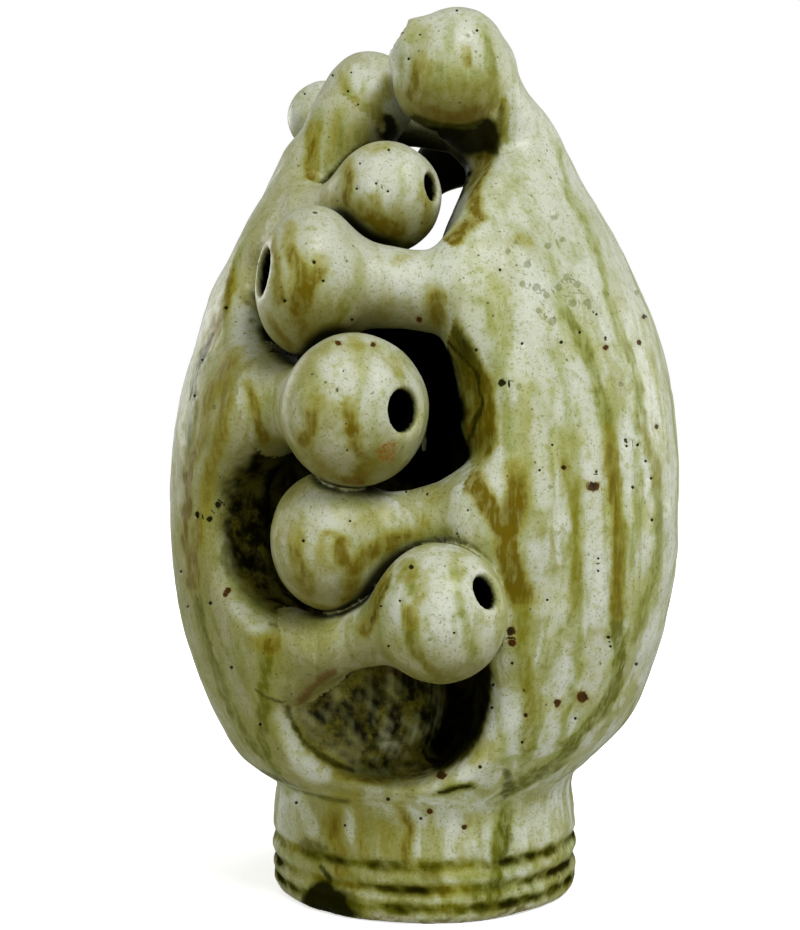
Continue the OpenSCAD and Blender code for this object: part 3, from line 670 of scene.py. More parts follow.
    (0, "o", 0.50, 2.0, [(-48.8, 147.2), (-49.5, 138.5), (-51.0, 132.2), (-53.5, 126.0), (-55.2, 121.0)]),
    (0, "o", 0.55, 1.7, [(-55.2, 68.0), (-52.5, 64.8), (-51.0, 59.8), (-49.5, 56.0)]),
    (0, "o", 0.55, 2.0, [(-47.5, 64.2), (-46.5, 58.5), (-46.0, 52.8), (-44.2, 47.8), (-42.0, 44.0)]),
        (0, "o", 0.90, 3.9, [(-40.0, 59.8), (-39.5, 54.8), (-39.8, 49.2), (-40.2, 44.2), (-40.5, 39.2), (-40.5,
        34.2), (-39.8, 30.2)]),
    (0, "a", 0.85, 3.6, [(-41.5, 59.0), (-39.0, 57.8), (-36.0, 59.2)]),
    (0, "a", 0.80, 2.8, [(-33.2, 59.0), (-31.5, 57.5), (-29.8, 57.2)]),
    (0, "a", 0.75, 2.0, [(-22.8, 59.8), (-21.5, 57.8), (-19.5, 58.0), (-18.5, 59.8)]),
    (0, "a", 0.45, 2.0, [(-18.0, 69.8), (-16.5, 66.0), (-18.5, 62.2)]),
    (0, "d", 0.60, 0.8, [(-42.0, 47.2), (-39.0, 45.0), (-36.0, 44.2), (-33.5, 44.8)]),
        (0, "d", 0.65, 1.8, [(-34.2, 44.0), (-33.8, 40.8), (-32.0, 37.0), (-29.5, 33.8), (-26.2, 31.0), (-22.2,
        28.5), (-18.0, 27.0)]),
    (0, "a", 0.60, 2.5, [(-33.5, 41.8), (-31.2, 37.0), (-28.8, 33.5), (-25.5, 30.5), (-21.0, 28.0)]),
    (0, "a", 0.80, 2.0, [(-21.5, 25.8), (-16.0, 24.8), (-10.2, 24.5), (-5.5, 25.8)]),
    (0, "r", 0.90, 2.0, [(-31.0, 46.2), (-29.8, 48.8), (-27.2, 50.0), (-23.5, 50.2)]),
    (0, "r", 0.75, 1.8, [(-31.0, 43.8), (-28.5, 46.2), (-25.5, 49.5), (-22.5, 51.2)]),
    (1, "r", 0.75, 1.8, [(-31.0, 44.4), (-28.5, 46.8), (-25.5, 50.0), (-22.5, 51.6)]),
    (0, "r", 0.50, 1.2, [(-9.8, 52.2), (-6.5, 51.5), (-3.0, 51.5)]),
    (0, "o", 0.35, 2.5, [(-40.5, 182.2), (-43.5, 174.8), (-46.0, 169.8)]),
    (0, "a", 0.85, 2.8, [(-27.0, 187.8), (-28.0, 182.2), (-28.2, 177.8), (-27.8, 174.2)]),
    (0, "o", 0.55, 3.4, [(-22.8, 188.5), (-23.5, 182.2), (-24.0, 177.2)]),
    (0, "d", 0.45, 2.2, [(-49.5, 76.0), (-50.5, 79.8), (-49.0, 83.5)]),
    (0, "o", 0.60, 4.5, [(-49.8, 79.8), (-48.0, 74.8), (-44.8, 70.5), (-41.5, 67.2)]),
    (0, "d", 0.50, 1.0, [(-38.5, 63.5), (-34.8, 63.0), (-28.5, 62.8), (-23.5, 63.5)]),
    (0, "o", 0.50, 2.8, [(-17.2, 99.8), (-7.2, 99.0), (-1.0, 101.0)]),
    (0, "a", 0.60, 3.1, [(-18.0, 23.2), (-17.2, 19.0), (-16.0, 12.2), (-15.5, 5.8)]),
    (0, "a", 0.90, 3.1, [(-6.0, 18.2), (-3.2, 13.2), (-4.0, 8.5), (-5.0, 4.2)]),
    (0, "a", 0.85, 4.2, [(-22.5, 19.8), (-23.0, 14.2), (-21.8, 7.8), (-20.8, 1.8)]),
    (0, "o", 0.90, 4.2, [(20.5, 21.0), (20.2, 14.8), (19.2, 7.2), (18.2, -0.2), (16.5, -6.5)]),
    (0, "d", 0.40, 2.0, [(19.8, 12.8), (21.5, 9.8), (20.2, 6.0)]),
    (0, "a", 0.40, 2.8, [(9.0, 10.2), (9.8, 4.2)]),
    (0, "a", 0.50, 4.5, [(-13.5, 16.0), (-9.8, 11.0), (-7.2, 6.0)]),
    (0, "o", 0.50, 2.5, [(-31.0, 22.2), (-25.5, 19.8), (-19.5, 18.8)]),
    (0, "d", 0.50, 1.2, [(-40.5, 26.8), (-35.2, 23.8), (-30.2, 21.8), (-24.8, 20.0), (-19.0, 19.0)]),
    (0, "o", 0.50, 2.2, [(-38.5, 26.0), (-33.5, 22.2)]),
    (0, "o", 0.70, 2.2, [(22.0, 22.8), (26.5, 24.0), (31.0, 26.0), (35.0, 29.2)]),
    (0, "d", 1.00, 11.0, [(-24.8, -6.0), (-23.2, -8.2)]),
    (0, "d", 1.00, 7.5, [(-27.0, -5.2), (-22.5, -5.8), (-21.0, -9.2)]),
    (0, "d", 0.70, 2.0, [(-25.5, 2.8), (-23.5, -0.2), (-25.5, -3.2)]),
    (0, "d", 0.50, 3.0, [(-30.2, 8.5), (-25.5, 7.2)]),
    (0, "o", 0.50, 2.8, [(-9.8, 27.2), (-15.5, 28.5)]),
    (0, "r", 0.35, 2.0, [(-1.0, 0.8), (4.0, -0.2)]),
    (0, "a", 0.35, 4.5, [(-18.5, -6.5), (-14.0, -7.8)]),
    # pale runs: pale glaze, and painted highlights on the lobes, the fingers' bulbs and the foot's ridges
    (0, "p", 0.80, 7.5, [(-44.8, 139.8), (-43.5, 133.5)]),
    (0, "p", 0.60, 5.0, [(-48.0, 144.8), (-46.5, 141.0)]),
    (0, "p", 0.50, 4.5, [(-49.5, 83.5), (-48.5, 72.2)]),
    (0, "p", 0.60, 6.0, [(-46.0, 68.0), (-42.0, 63.8)]),
    (0, "p", 0.80, 4.5, [(30.5, 144.8), (31.5, 137.2), (30.5, 124.8)]),
    (0, "p", 0.80, 5.0, [(29.0, 119.8), (29.8, 104.8), (30.2, 94.8)]),
    (0, "p", 0.90, 4.2, [(41.5, 119.8), (42.0, 107.2), (42.0, 94.8), (42.8, 79.8), (42.8, 64.8)]),
    (0, "p", 0.70, 2.2, [(50.5, 109.8), (50.8, 89.8)]),
    (0, "p", 0.90, 3.5, [(61.0, 119.8), (61.8, 102.2), (62.0, 79.8), (59.0, 64.8), (55.2, 49.8)]),
    (0, "p", 0.80, 6.0, [(16.5, 109.8), (17.8, 102.2), (18.8, 96.8)]),
    (0, "p", 0.80, 5.5, [(28.0, 83.5), (29.8, 68.5)]),
    (0, "p", 0.80, 4.0, [(35.2, 57.2), (34.0, 46.0)]),
    (0, "p", 0.80, 6.0, [(43.5, 58.5), (42.0, 48.5)]),
    (0, "p", 0.80, 3.0, [(33.0, 40.2), (31.0, 32.2)]),
    (0, "p", 0.70, 6.5, [(10.2, 28.5), (17.0, 26.0)]),
    (0, "p", 0.90, 15.0, [(27.8, 189.8), (30.2, 179.8), (31.5, 168.5)]),
    (0, "p", 0.80, 11.0, [(25.8, 141.8), (26.5, 128.5)]),
    (0, "p", 0.80, 10.0, [(9.0, 154.2), (13.5, 152.8)]),
    (0, "p", 0.60, 4.5, [(37.8, 127.2), (39.0, 119.8)]),
    (0, "p", 0.60, 3.5, [(56.0, 124.8), (57.0, 114.8)]),
    (0, "p", 0.80, 6.5, [(15.8, 36.0), (19.0, 44.8)]),
    (0, "p", 0.50, 5.0, [(49.5, 159.8), (54.0, 144.8)]),
    (0, "p", 0.70, 6.5, [(6.0, 16.8), (9.5, 6.0)]),
    (0, "p", 0.70, 5.0, [(28.5, 16.8), (30.2, 6.0)]),
    (0, "p", 0.70, 3.0, [(-18.5, 16.2), (-18.2, 9.2)]),
    (0, "p", 0.60, 3.5, [(-31.0, 19.8), (-28.0, 12.2)]),
    (0, "p", 0.75, 2.0, [(-22.2, -1.2), (-16.0, -3.5), (-1.0, -5.8), (11.5, -5.8), (24.0, -4.2)]),
    (0, "p", 0.60, 1.5, [(1.5, -0.5), (14.0, -0.8), (24.0, 0.8)]),
    (0, "p", 0.80, 5.5, [(-33.5, 40.2), (-31.0, 29.8), (-26.0, 26.0)]),
    (1, "p", 0.90, 7.0, [(3.5, 79.8), (4.0, 69.2)]),
    (1, "p", 0.90, 5.0, [(13.0, 79.2), (12.5, 69.8)]),
    (1, "p", 0.60, 6.5, [(6.0, 59.8), (7.8, 56.0)]),
    (1, "p", 0.60, 5.0, [(16.5, 66.0), (15.2, 58.5)]),
    (3, "p", 0.85, 8.5, [(-22.5, 128.5), (-19.8, 121.8)]),
    (3, "p", 0.85, 5.0, [(-11.0, 126.8), (-11.0, 121.8)]),
    (3, "p", 0.40, 7.5, [(-23.5, 108.5), (-19.8, 104.8)]),
    (4, "p", 0.60, 10.0, [(-24.8, 161.0), (-21.5, 155.2)]),
    (4, "p", 0.60, 6.5, [(-1.0, 151.8), (-6.0, 148.5)]),
    (5, "p", 0.85, 8.0, [(-12.5, 178.5), (-11.0, 171.8)]),
    (5, "p", 0.70, 3.5, [(-3.8, 179.8), (-3.2, 170.2)]),
    (6, "p", 0.60, 8.5, [(4.0, 213.2), (13.0, 212.2)]),
    (7, "p", 0.85, 6.0, [(-17.2, 202.2), (-14.5, 197.2)]),
    (8, "p", 0.80, 6.0, [(-29.0, 196.8), (-27.2, 192.2)]),
    (2, "p", 0.60, 6.0, [(-28.5, 94.8), (-24.8, 89.8)]),
    (2, "p", 0.50, 6.5, [(-25.5, 74.0), (-24.0, 70.8)]),
    (1, "a", 0.80, 2.5, [(-8.8, 76.8), (-10.8, 71.8), (-12.2, 66.0), (-14.5, 61.8)]),
    (1, "d", 0.50, 1.0, [(-8.2, 76.0), (-11.0, 69.8), (-13.2, 64.2)]),
    (1, "a", 0.60, 2.5, [(-5.2, 75.2), (-3.2, 77.2)]),
    (1, "o", 0.60, 2.5, [(-3.5, 73.2), (-3.0, 71.5)]),
    (1, "a", 0.75, 3.9, [(-3.8, 66.8), (-3.2, 64.8)]),
    (1, "o", 0.85, 3.6, [(-3.8, 66.8), (-3.2, 61.0), (-1.8, 56.8), (0.5, 53.0), (3.5, 50.5)]),
    (1, "a", 0.35, 3.4, [(-2.8, 59.8), (-0.5, 54.8), (2.2, 51.8)]),
        (1, "o", 0.55, 2.5, [(7.5, 79.2), (8.2, 73.0), (9.5, 67.2), (10.5, 61.8), (11.8, 57.2), (11.2, 53.8),
        (8.2, 50.8)]),
    (1, "o", 0.60, 3.4, [(-2.2, 51.2), (3.5, 49.2), (9.0, 50.8), (13.5, 53.8)]),
    (1, "o", 0.40, 2.2, [(-11.0, 59.8), (-9.2, 55.8), (-6.5, 52.8)]),
    (1, "o", 0.35, 2.0, [(-15.5, 69.8), (-14.5, 63.5), (-17.0, 59.2)]),
    (1, "o", 0.30, 2.2, [(-6.2, 74.8), (-9.8, 67.2), (-11.0, 59.8)]),
    (1, "a", 0.35, 2.8, [(0.2, 74.8), (-1.5, 69.8)]),
    (2, "a", 0.75, 3.4, [(-32.2, 86.5), (-32.0, 80.8), (-30.5, 76.0), (-28.8, 72.2)]),
    (2, "a", 0.85, 3.4, [(-20.8, 84.0), (-20.2, 79.8)]),
    (2, "a", 0.60, 1.4, [(-26.5, 86.0), (-23.0, 86.5), (-19.5, 85.2)]),
    (2, "a", 0.60, 2.2, [(-25.8, 84.2), (-25.2, 79.2)]),
    (2, "a", 0.35, 2.2, [(-29.0, 78.2), (-24.0, 77.2), (-18.5, 78.8)]),
    (2, "a", 0.75, 3.4, [(-17.2, 77.8), (-18.0, 72.8), (-20.0, 69.2)]),
    (2, "a", 0.50, 1.7, [(-30.2, 69.8), (-26.5, 67.8), (-22.2, 67.5)]),
    (2, "a", 0.80, 3.9, [(-0.8, 88.8), (-2.5, 86.2), (-7.0, 84.5), (-11.0, 83.0), (-14.2, 80.8), (-18.0, 77.2)]),
    (2, "o", 0.55, 3.9, [(-6.0, 84.8), (0.2, 86.0), (5.2, 86.8)]),
    (2, "a", 0.30, 2.8, [(-36.0, 91.0), (-36.8, 84.8)]),
    (2, "o", 0.40, 3.4, [(-23.5, 94.8), (-19.8, 93.5), (-14.8, 93.5)]),
    (2, "a", 0.35, 3.4, [(4.0, 97.2), (0.2, 95.5)]),
    (2, "a", 0.25, 3.9, [(-11.0, 91.0), (-16.0, 88.5)]),
    (2, "r", 0.50, 1.5, [(-1.5, 100.2), (1.0, 100.5)]),
    (3, "a", 0.85, 3.4, [(-26.8, 119.2), (-28.0, 116.0), (-29.0, 112.8), (-29.8, 109.2)]),
    (3, "a", 0.95, 3.4, [(-18.8, 118.8), (-18.5, 112.2)]),
    (3, "a", 0.35, 2.5, [(-22.5, 118.8), (-21.2, 115.8)]),
    (3, "a", 0.80, 3.6, [(-18.0, 111.8), (-16.8, 108.2), (-15.2, 104.2), (-15.5, 100.5)]),
    (3, "a", 0.50, 2.8, [(-12.0, 106.8), (-13.8, 102.2)]),
    (3, "a", 0.60, 2.0, [(-29.2, 106.8), (-24.8, 101.8), (-19.8, 99.5), (-14.0, 99.5)]),
    (3, "r", 0.60, 2.0, [(-19.8, 99.8), (-16.0, 99.5)]),
    (3, "o", 0.50, 2.0, [(-15.2, 132.2), (-15.5, 126.8), (-16.5, 120.5)]),
    (3, "o", 0.35, 2.8, [(-9.2, 124.0), (-12.0, 118.5), (-13.0, 112.2), (-11.5, 107.2)]),
    (3, "o", 0.35, 2.0, [(-29.8, 123.5), (-30.2, 119.8), (-31.0, 116.0)]),
    (3, "a", 0.45, 2.5, [(-17.2, 133.8), (-16.0, 133.0)]),
    (3, "a", 0.35, 2.8, [(-8.0, 129.2), (-6.8, 127.2)]),
    (3, "a", 0.90, 2.2, [(-44.0, 124.0), (-43.0, 120.5), (-42.0, 116.8), (-41.0, 112.8), (-40.0, 109.8)]),
    (3, "o", 0.40, 1.7, [(-38.5, 122.2), (-39.0, 117.2), (-39.0, 112.2)]),
    (3, "o", 0.60, 2.2, [(-38.0, 109.8), (-33.5, 108.2), (-30.2, 106.0)]),
    (3, "o", 0.30, 2.8, [(-26.0, 126.0), (-28.0, 121.8)]),
    (4, "a", 0.85, 2.5, [(-38.0, 161.0), (-37.2, 155.2), (-37.0, 149.8), (-36.2, 144.8)]),
    (4, "a", 0.55, 2.5, [(-33.8, 163.2), (-33.2, 159.8)]),
    (4, "a", 0.85, 3.1, [(-33.5, 159.8), (-33.0, 156.0), (-31.2, 152.8), (-30.0, 150.2)]),
    (4, "a", 0.95, 5.0, [(-30.0, 150.2), (-29.5, 146.8), (-31.0, 143.0)]),
    (4, "a", 0.75, 3.9, [(-31.0, 143.5), (-31.0, 139.2), (-29.5, 135.2)]),
    (4, "a", 0.75, 3.4, [(-25.5, 154.2), (-26.5, 151.0), (-28.8, 148.0)]),
    (4, "o", 0.70, 3.4, [(-19.0, 146.0), (-20.5, 142.2), (-22.0, 138.2)]),
    (4, "o", 0.35, 2.5, [(-17.5, 154.2), (-16.0, 149.8), (-18.0, 144.8)]),
    (4, "a", 0.35, 3.4, [(-9.8, 147.8), (-9.8, 141.8)]),
    (4, "a", 0.80, 1.7, [(-39.0, 141.0), (-36.8, 136.5), (-33.0, 133.0)]),
    (4, "a", 0.40, 2.2, [(-7.0, 154.2), (-4.8, 155.2)]),
    (4, "a", 0.40, 3.9, [(-28.5, 136.0), (-23.5, 137.8)]),
    (4, "r", 0.60, 1.2, [(-1.8, 140.2), (-0.8, 139.5)]),
    (4, "a", 0.80, 3.9, [(3.0, 145.2), (3.5, 140.2)]),
    (4, "a", 0.35, 8.4, [(-23.5, 142.2), (-31.0, 137.2)]),
    (5, "a", 0.85, 2.5, [(-19.0, 179.0), (-18.8, 174.0), (-19.0, 169.2)]),
    (5, "a", 0.55, 2.5, [(-24.0, 170.2), (-19.8, 168.2)]),
    (5, "a", 0.95, 5.0, [(-18.0, 168.0), (-14.2, 165.5), (-10.5, 163.2), (-6.5, 161.8)]),
    (5, "a", 0.60, 2.8, [(-12.2, 170.2), (-11.5, 166.2)]),
    (5, "a", 0.50, 2.8, [(-6.8, 167.2), (-5.5, 163.2)]),
    (5, "a", 0.75, 2.8, [(0.2, 173.0), (1.0, 167.8), (0.0, 162.2)]),
    (5, "o", 0.25, 1.7, [(-5.2, 179.8), (-5.5, 174.8), (-5.5, 169.8)]),
    (5, "o", 0.40, 1.7, [(-1.5, 177.8), (-1.0, 169.8)]),
    (5, "a", 0.45, 2.5, [(-14.5, 181.8), (-9.8, 183.0)]),
    (5, "o", 0.30, 3.4, [(-15.5, 169.8), (-15.5, 167.2)]),
    (5, "d", 0.50, 3.0, [(-13.0, 159.8), (-8.5, 158.2), (-3.5, 158.2)]),
    (6, "a", 0.80, 2.8, [(-0.8, 205.2), (-2.0, 201.8), (-3.2, 197.2), (-3.8, 195.2)]),
    (6, "a", 0.60, 2.0, [(1.8, 203.8), (0.5, 198.8), (0.0, 193.8)]),
    (6, "o", 0.70, 2.5, [(4.2, 205.8), (3.5, 198.8), (3.2, 191.8)]),
    (6, "a", 0.45, 2.8, [(7.0, 198.8), (7.2, 190.8)]),
    (6, "o", 0.60, 2.0, [(9.8, 202.2), (10.2, 195.8), (10.8, 190.2)]),
    (6, "a", 0.85, 2.5, [(10.8, 207.0), (11.0, 203.2)]),
    (6, "a", 0.70, 4.5, [(-3.0, 193.8), (1.0, 191.2), (6.5, 190.0), (12.0, 190.2), (16.5, 192.2)]),
    (6, "r", 0.35, 3.5, [(0.2, 191.8), (6.5, 190.2), (13.5, 190.8)]),
    # painted shade: the nearly black rows here lie under the third right finger's bulb and in the gap below it
    (6, "d", 0.70, 2.2, [(-2.5, 190.2), (1.5, 188.5), (6.5, 187.8), (12.0, 188.0), (15.5, 189.2)]),
    (6, "o", 0.50, 2.2, [(-5.0, 207.8), (-6.0, 202.2), (-6.2, 196.8)]),
    (0, "o", 0.70, 2.8, [(16.0, 213.8), (17.5, 206.8), (18.8, 199.2), (19.8, 191.8), (20.2, 184.8)]),
    (6, "o", 0.70, 2.5, [(15.0, 212.2), (16.2, 205.8), (17.2, 198.2), (18.0, 192.8)]),
    (0, "d", 1.00, 8.5, [(-7.0, 187.2), (1.5, 184.8), (11.5, 184.8), (14.5, 186.2)]),
    (0, "d", 0.80, 3.0, [(15.0, 189.0), (16.5, 186.0), (17.0, 182.2)]),
    (0, "a", 0.60, 3.9, [(15.5, 192.8), (17.0, 189.2)]),
    (0, "d", 0.80, 2.0, [(-20.0, 44.0), (-18.0, 42.5)]),
    (0, "d", 0.60, 1.8, [(-23.5, 39.2), (-21.5, 37.2)]),
    (0, "d", 0.70, 1.2, [(-15.5, 31.2), (-12.5, 33.2)]),
    (0, "d", 0.50, 1.8, [(-12.2, 47.2), (-8.5, 44.8)]),
    (0, "d", 0.50, 1.2, [(-26.5, 31.8), (-25.0, 34.2)]),
    (0, "d", 0.50, 2.0, [(-13.0, 34.2), (-6.5, 35.2)]),
    (0, "d", 0.50, 1.5, [(1.5, 44.8), (3.0, 40.8)]),
    (0, "r", 0.60, 3.0, [(-31.0, 47.8), (-26.5, 50.8), (-22.5, 51.2)]),
    (0, "o", 0.70, 3.9, [(-26.5, 191.0), (-27.5, 184.8), (-28.0, 178.5)]),
    (0, "a", 0.55, 2.2, [(-22.0, 190.8), (-23.2, 179.8)]),
    (0, "a", 0.55, 2.0, [(-18.2, 188.2), (-19.5, 180.2)]),
    (0, "o", 0.70, 2.5, [(-20.2, 191.8), (-21.2, 178.5)]),
    (0, "o", 0.60, 2.0, [(-16.5, 189.8), (-17.0, 182.2)]),
    (0, "a", 0.50, 2.0, [(-14.5, 190.2), (-15.0, 184.2)]),
    # painted shade under the fourth left finger's bulb, above the left lobe's tip
    (0, "d", 0.75, 2.8, [(-25.5, 173.2), (-22.0, 177.0), (-18.0, 180.2), (-13.0, 182.8)]),
    (7, "o", 0.60, 2.2, [(-18.8, 203.2), (-19.2, 194.8)]),
    (7, "o", 0.50, 2.0, [(-14.8, 198.8), (-15.0, 187.2)]),
    (7, "a", 0.50, 2.5, [(-18.0, 189.8), (-18.5, 182.2)]),
    # painted shade along the undersides of the third right and fourth left fingers
    (6, "d", 1.00, 4.5, [(-1.5, 185.8), (5.2, 185.5), (13.5, 185.5)]),
    (7, "d", 0.85, 3.2, [(-9.0, 189.8), (-7.8, 186.8), (-10.0, 184.2)]),
    (6, "o", 0.55, 9.5, [(-1.5, 201.2), (5.2, 198.8), (12.5, 199.8)]),
    (6, "a", 0.50, 9.0, [(-2.0, 195.2), (5.5, 193.2), (14.0, 194.2)]),
    (6, "o", 0.50, 3.4, [(-3.5, 209.8), (0.0, 211.2)]),
    (6, "o", 0.50, 2.2, [(7.0, 214.2), (6.5, 207.2)]),
    (7, "a", 0.50, 2.0, [(-20.5, 201.5), (-19.8, 196.8)]),
    (7, "a", 0.80, 3.9, [(-17.0, 194.2), (-17.8, 190.2), (-17.2, 186.2)]),
    (7, "a", 0.70, 3.4, [(-11.8, 194.8), (-12.2, 189.8), (-13.5, 185.5)]),
    (7, "a", 0.70, 2.2, [(-9.2, 199.8), (-9.0, 195.5)]),
    (7, "a", 0.60, 2.5, [(-20.2, 192.2), (-19.8, 186.8)]),
    (7, "o", 0.40, 2.2, [(-22.0, 195.2), (-21.5, 191.0)]),
    (7, "o", 0.50, 2.8, [(-23.5, 189.8), (-24.0, 182.2)]),
    # painted shade under the fourth left finger's bulb
    (7, "d", 0.50, 2.5, [(-18.5, 184.2), (-13.0, 183.5)]),
    (8, "o", 0.50, 2.8, [(-32.2, 189.8), (-33.0, 186.0)]),
    (8, "a", 0.35, 2.2, [(-29.5, 191.0), (-30.2, 187.8)]),
]
SPECKS = [
        (0, "g", 1.12, [(32.5, 165.2), (31.0, 158.2), (25.8, 153.5), (24.5, 148.8), (28.0, 147.8), (30.5, 146.0),
        (37.0, 143.8), (40.8, 144.0), (32.0, 139.5), (23.8, 123.2), (38.2, 148.5), (33.5, 147.8), (35.5, 150.5)]),
        (0, "g", 0.75, [(22.8, 159.0), (28.5, 142.0), (45.0, 169.0), (41.2, 142.8), (49.0, 123.5), (34.5, 159.8),
        (21.0, 156.8), (53.0, 146.5), (41.0, 81.0), (31.5, 98.0)]),
    (0, "k", 1.12, [(19.5, 124.0)]),
    (0, "r", 0.80, [(53.5, 134.0), (34.8, 102.8), (54.8, 140.5), (58.0, 113.0), (45.2, 132.8), (25.5, 40.8)]),
        (0, "k", 0.45, [(13.0, 132.2), (45.2, 135.2), (24.5, 133.8), (46.0, 60.5), (46.5, 58.2), (24.5, 34.2),
        (37.8, 40.2), (17.0, 42.8), (30.8, 69.8), (43.5, 77.0), (43.5, 80.2), (56.8, 89.8), (52.0, 98.0), (28.8,
        102.2), (43.0, 101.8), (32.0, 108.5), (50.2, 109.8), (50.5, 108.2), (53.2, 108.5), (55.2, 104.5), (56.5,
        100.2), (19.0, 152.2), (43.0, 141.0), (38.8, 136.5), (34.2, 134.2), (28.2, 142.0), (6.8, 103.0), (11.0,
        92.2)]),
    (0, "r", 1.62, [(21.5, 62.0), (39.8, 45.5), (4.2, 26.0), (42.2, 98.2)]),
    (0, "r", 1.15, [(22.0, 59.0), (7.2, 35.8), (33.2, 44.0)]),
    (0, "k", 0.55, [(22.0, 54.0), (53.0, 53.8), (14.0, 28.0), (17.2, 48.5), (10.0, 12.8), (-9.0, 19.8), (3.5, 28.5)]),
    (0, "k", 1.00, [(-53.8, 90.0), (-56.8, 91.0), (-51.8, 93.5)]),
    (0, "r", 0.80, [(-49.8, 71.0), (-49.0, 72.2), (1.5, 16.8), (10.0, 12.8)]),
        (0, "k", 0.50, [(-53.5, 68.8), (-48.2, 52.8), (-32.8, 60.8), (-22.5, 61.0), (-41.0, 38.5), (-49.5, 142.8),
        (-57.5, 120.8), (-55.5, 129.8), (-61.0, 76.8), (-32.0, 18.8), (-0.8, 15.0), (-19.8, 13.2), (-59.2, 68.0),
        (-12.0, 55.5)]),
    (0, "g", 0.75, [(-43.0, 139.8), (-44.0, 144.0), (-52.5, 117.8), (-48.5, 93.5), (-50.5, 95.5)]),
    (1, "k", 0.40, [(7.5, 61.5), (-6.0, 69.5), (-10.8, 68.2), (-8.8, 58.2)]),
    (1, "k", 0.75, [(-3.2, 78.0)]),
    (1, "g", 0.55, [(1.5, 59.8)]),
    (2, "k", 0.38, [(-2.0, 98.0), (-4.5, 96.8), (0.8, 96.2), (-18.5, 89.5), (-30.2, 84.5)]),
    (2, "r", 0.65, [(-0.2, 100.5)]),
    (3, "r", 0.75, [(-21.5, 134.0), (-12.8, 133.5)]),
    (3, "k", 0.33, [(-20.2, 127.0), (-19.2, 107.2), (-8.2, 114.5), (-19.5, 113.8)]),
    (3, "s", 3.00, [(-9.2, 106.8)]),
    (4, "k", 0.45, [(-25.2, 149.5), (-34.8, 144.5), (-27.5, 154.2), (-18.0, 139.8)]),
    (4, "r", 0.85, [(-1.2, 139.8)]),
    (5, "k", 0.40, [(-9.0, 171.8), (-16.8, 172.5), (-12.0, 173.8), (-16.0, 178.8), (-8.8, 182.2)]),
    (6, "g", 0.62, [(11.0, 210.5)]),
    (6, "k", 0.40, [(13.2, 211.8), (-1.0, 210.8), (-3.8, 204.8), (8.2, 216.8)]),
    (7, "k", 0.38, [(-22.8, 200.8), (-18.2, 201.5), (-19.0, 196.8), (-16.5, 193.5), (-21.5, 194.8)]),
    (8, "k", 0.35, [(-29.8, 196.2)]),
]


def sample(grid, p):
    q = (p - np.array([X[0], Y[0], Z[0]])) / H
    q = np.clip(q, 0, np.array(grid.shape) - 1.001)
    i = q.astype(np.int32)
    f = (q - i).astype(np.float32)
    sy, sx = grid.shape[2], grid.shape[1] * grid.shape[2]
    flat = grid.reshape(-1)
    base = i[:, 0] * sx + i[:, 1] * sy + i[:, 2]
    out = np.zeros(len(p), np.float32)
    for dx in (0, 1):
        for dy in (0, 1):
            for dz in (0, 1):
                w = (f[:, 0] if dx else 1 - f[:, 0]) * (f[:, 1] if dy else 1 - f[:, 1]) * (f[:, 2] if dz else 1 - f[:, 2])
                out += w * flat[base + dx * sx + dy * sy + dz]
    return out


def slope(grid, p, e=0.9):
    g = np.stack([sample(grid, p + d) - sample(grid, p - d) for d in np.eye(3) * e], 1)
    return g / np.maximum(np.linalg.norm(g, axis=1, keepdims=True), 1e-6)


def step01(x, lo, hi):
    t = np.clip((x - lo) / (hi - lo), 0, 1)
    return t * t * (3 - 2 * t)


def owners():
    """For each grid cell, 0 where the body is nearest and 1..10 where a finger is."""
    own = np.zeros(SHAPE, np.uint8)
    best = body.copy()
    for k, (s, shape, _) in enumerate(shapes):
        near = shape < best[s]
        own[s][near] = k + 1
        best[s] = np.minimum(best[s], shape)
    return own


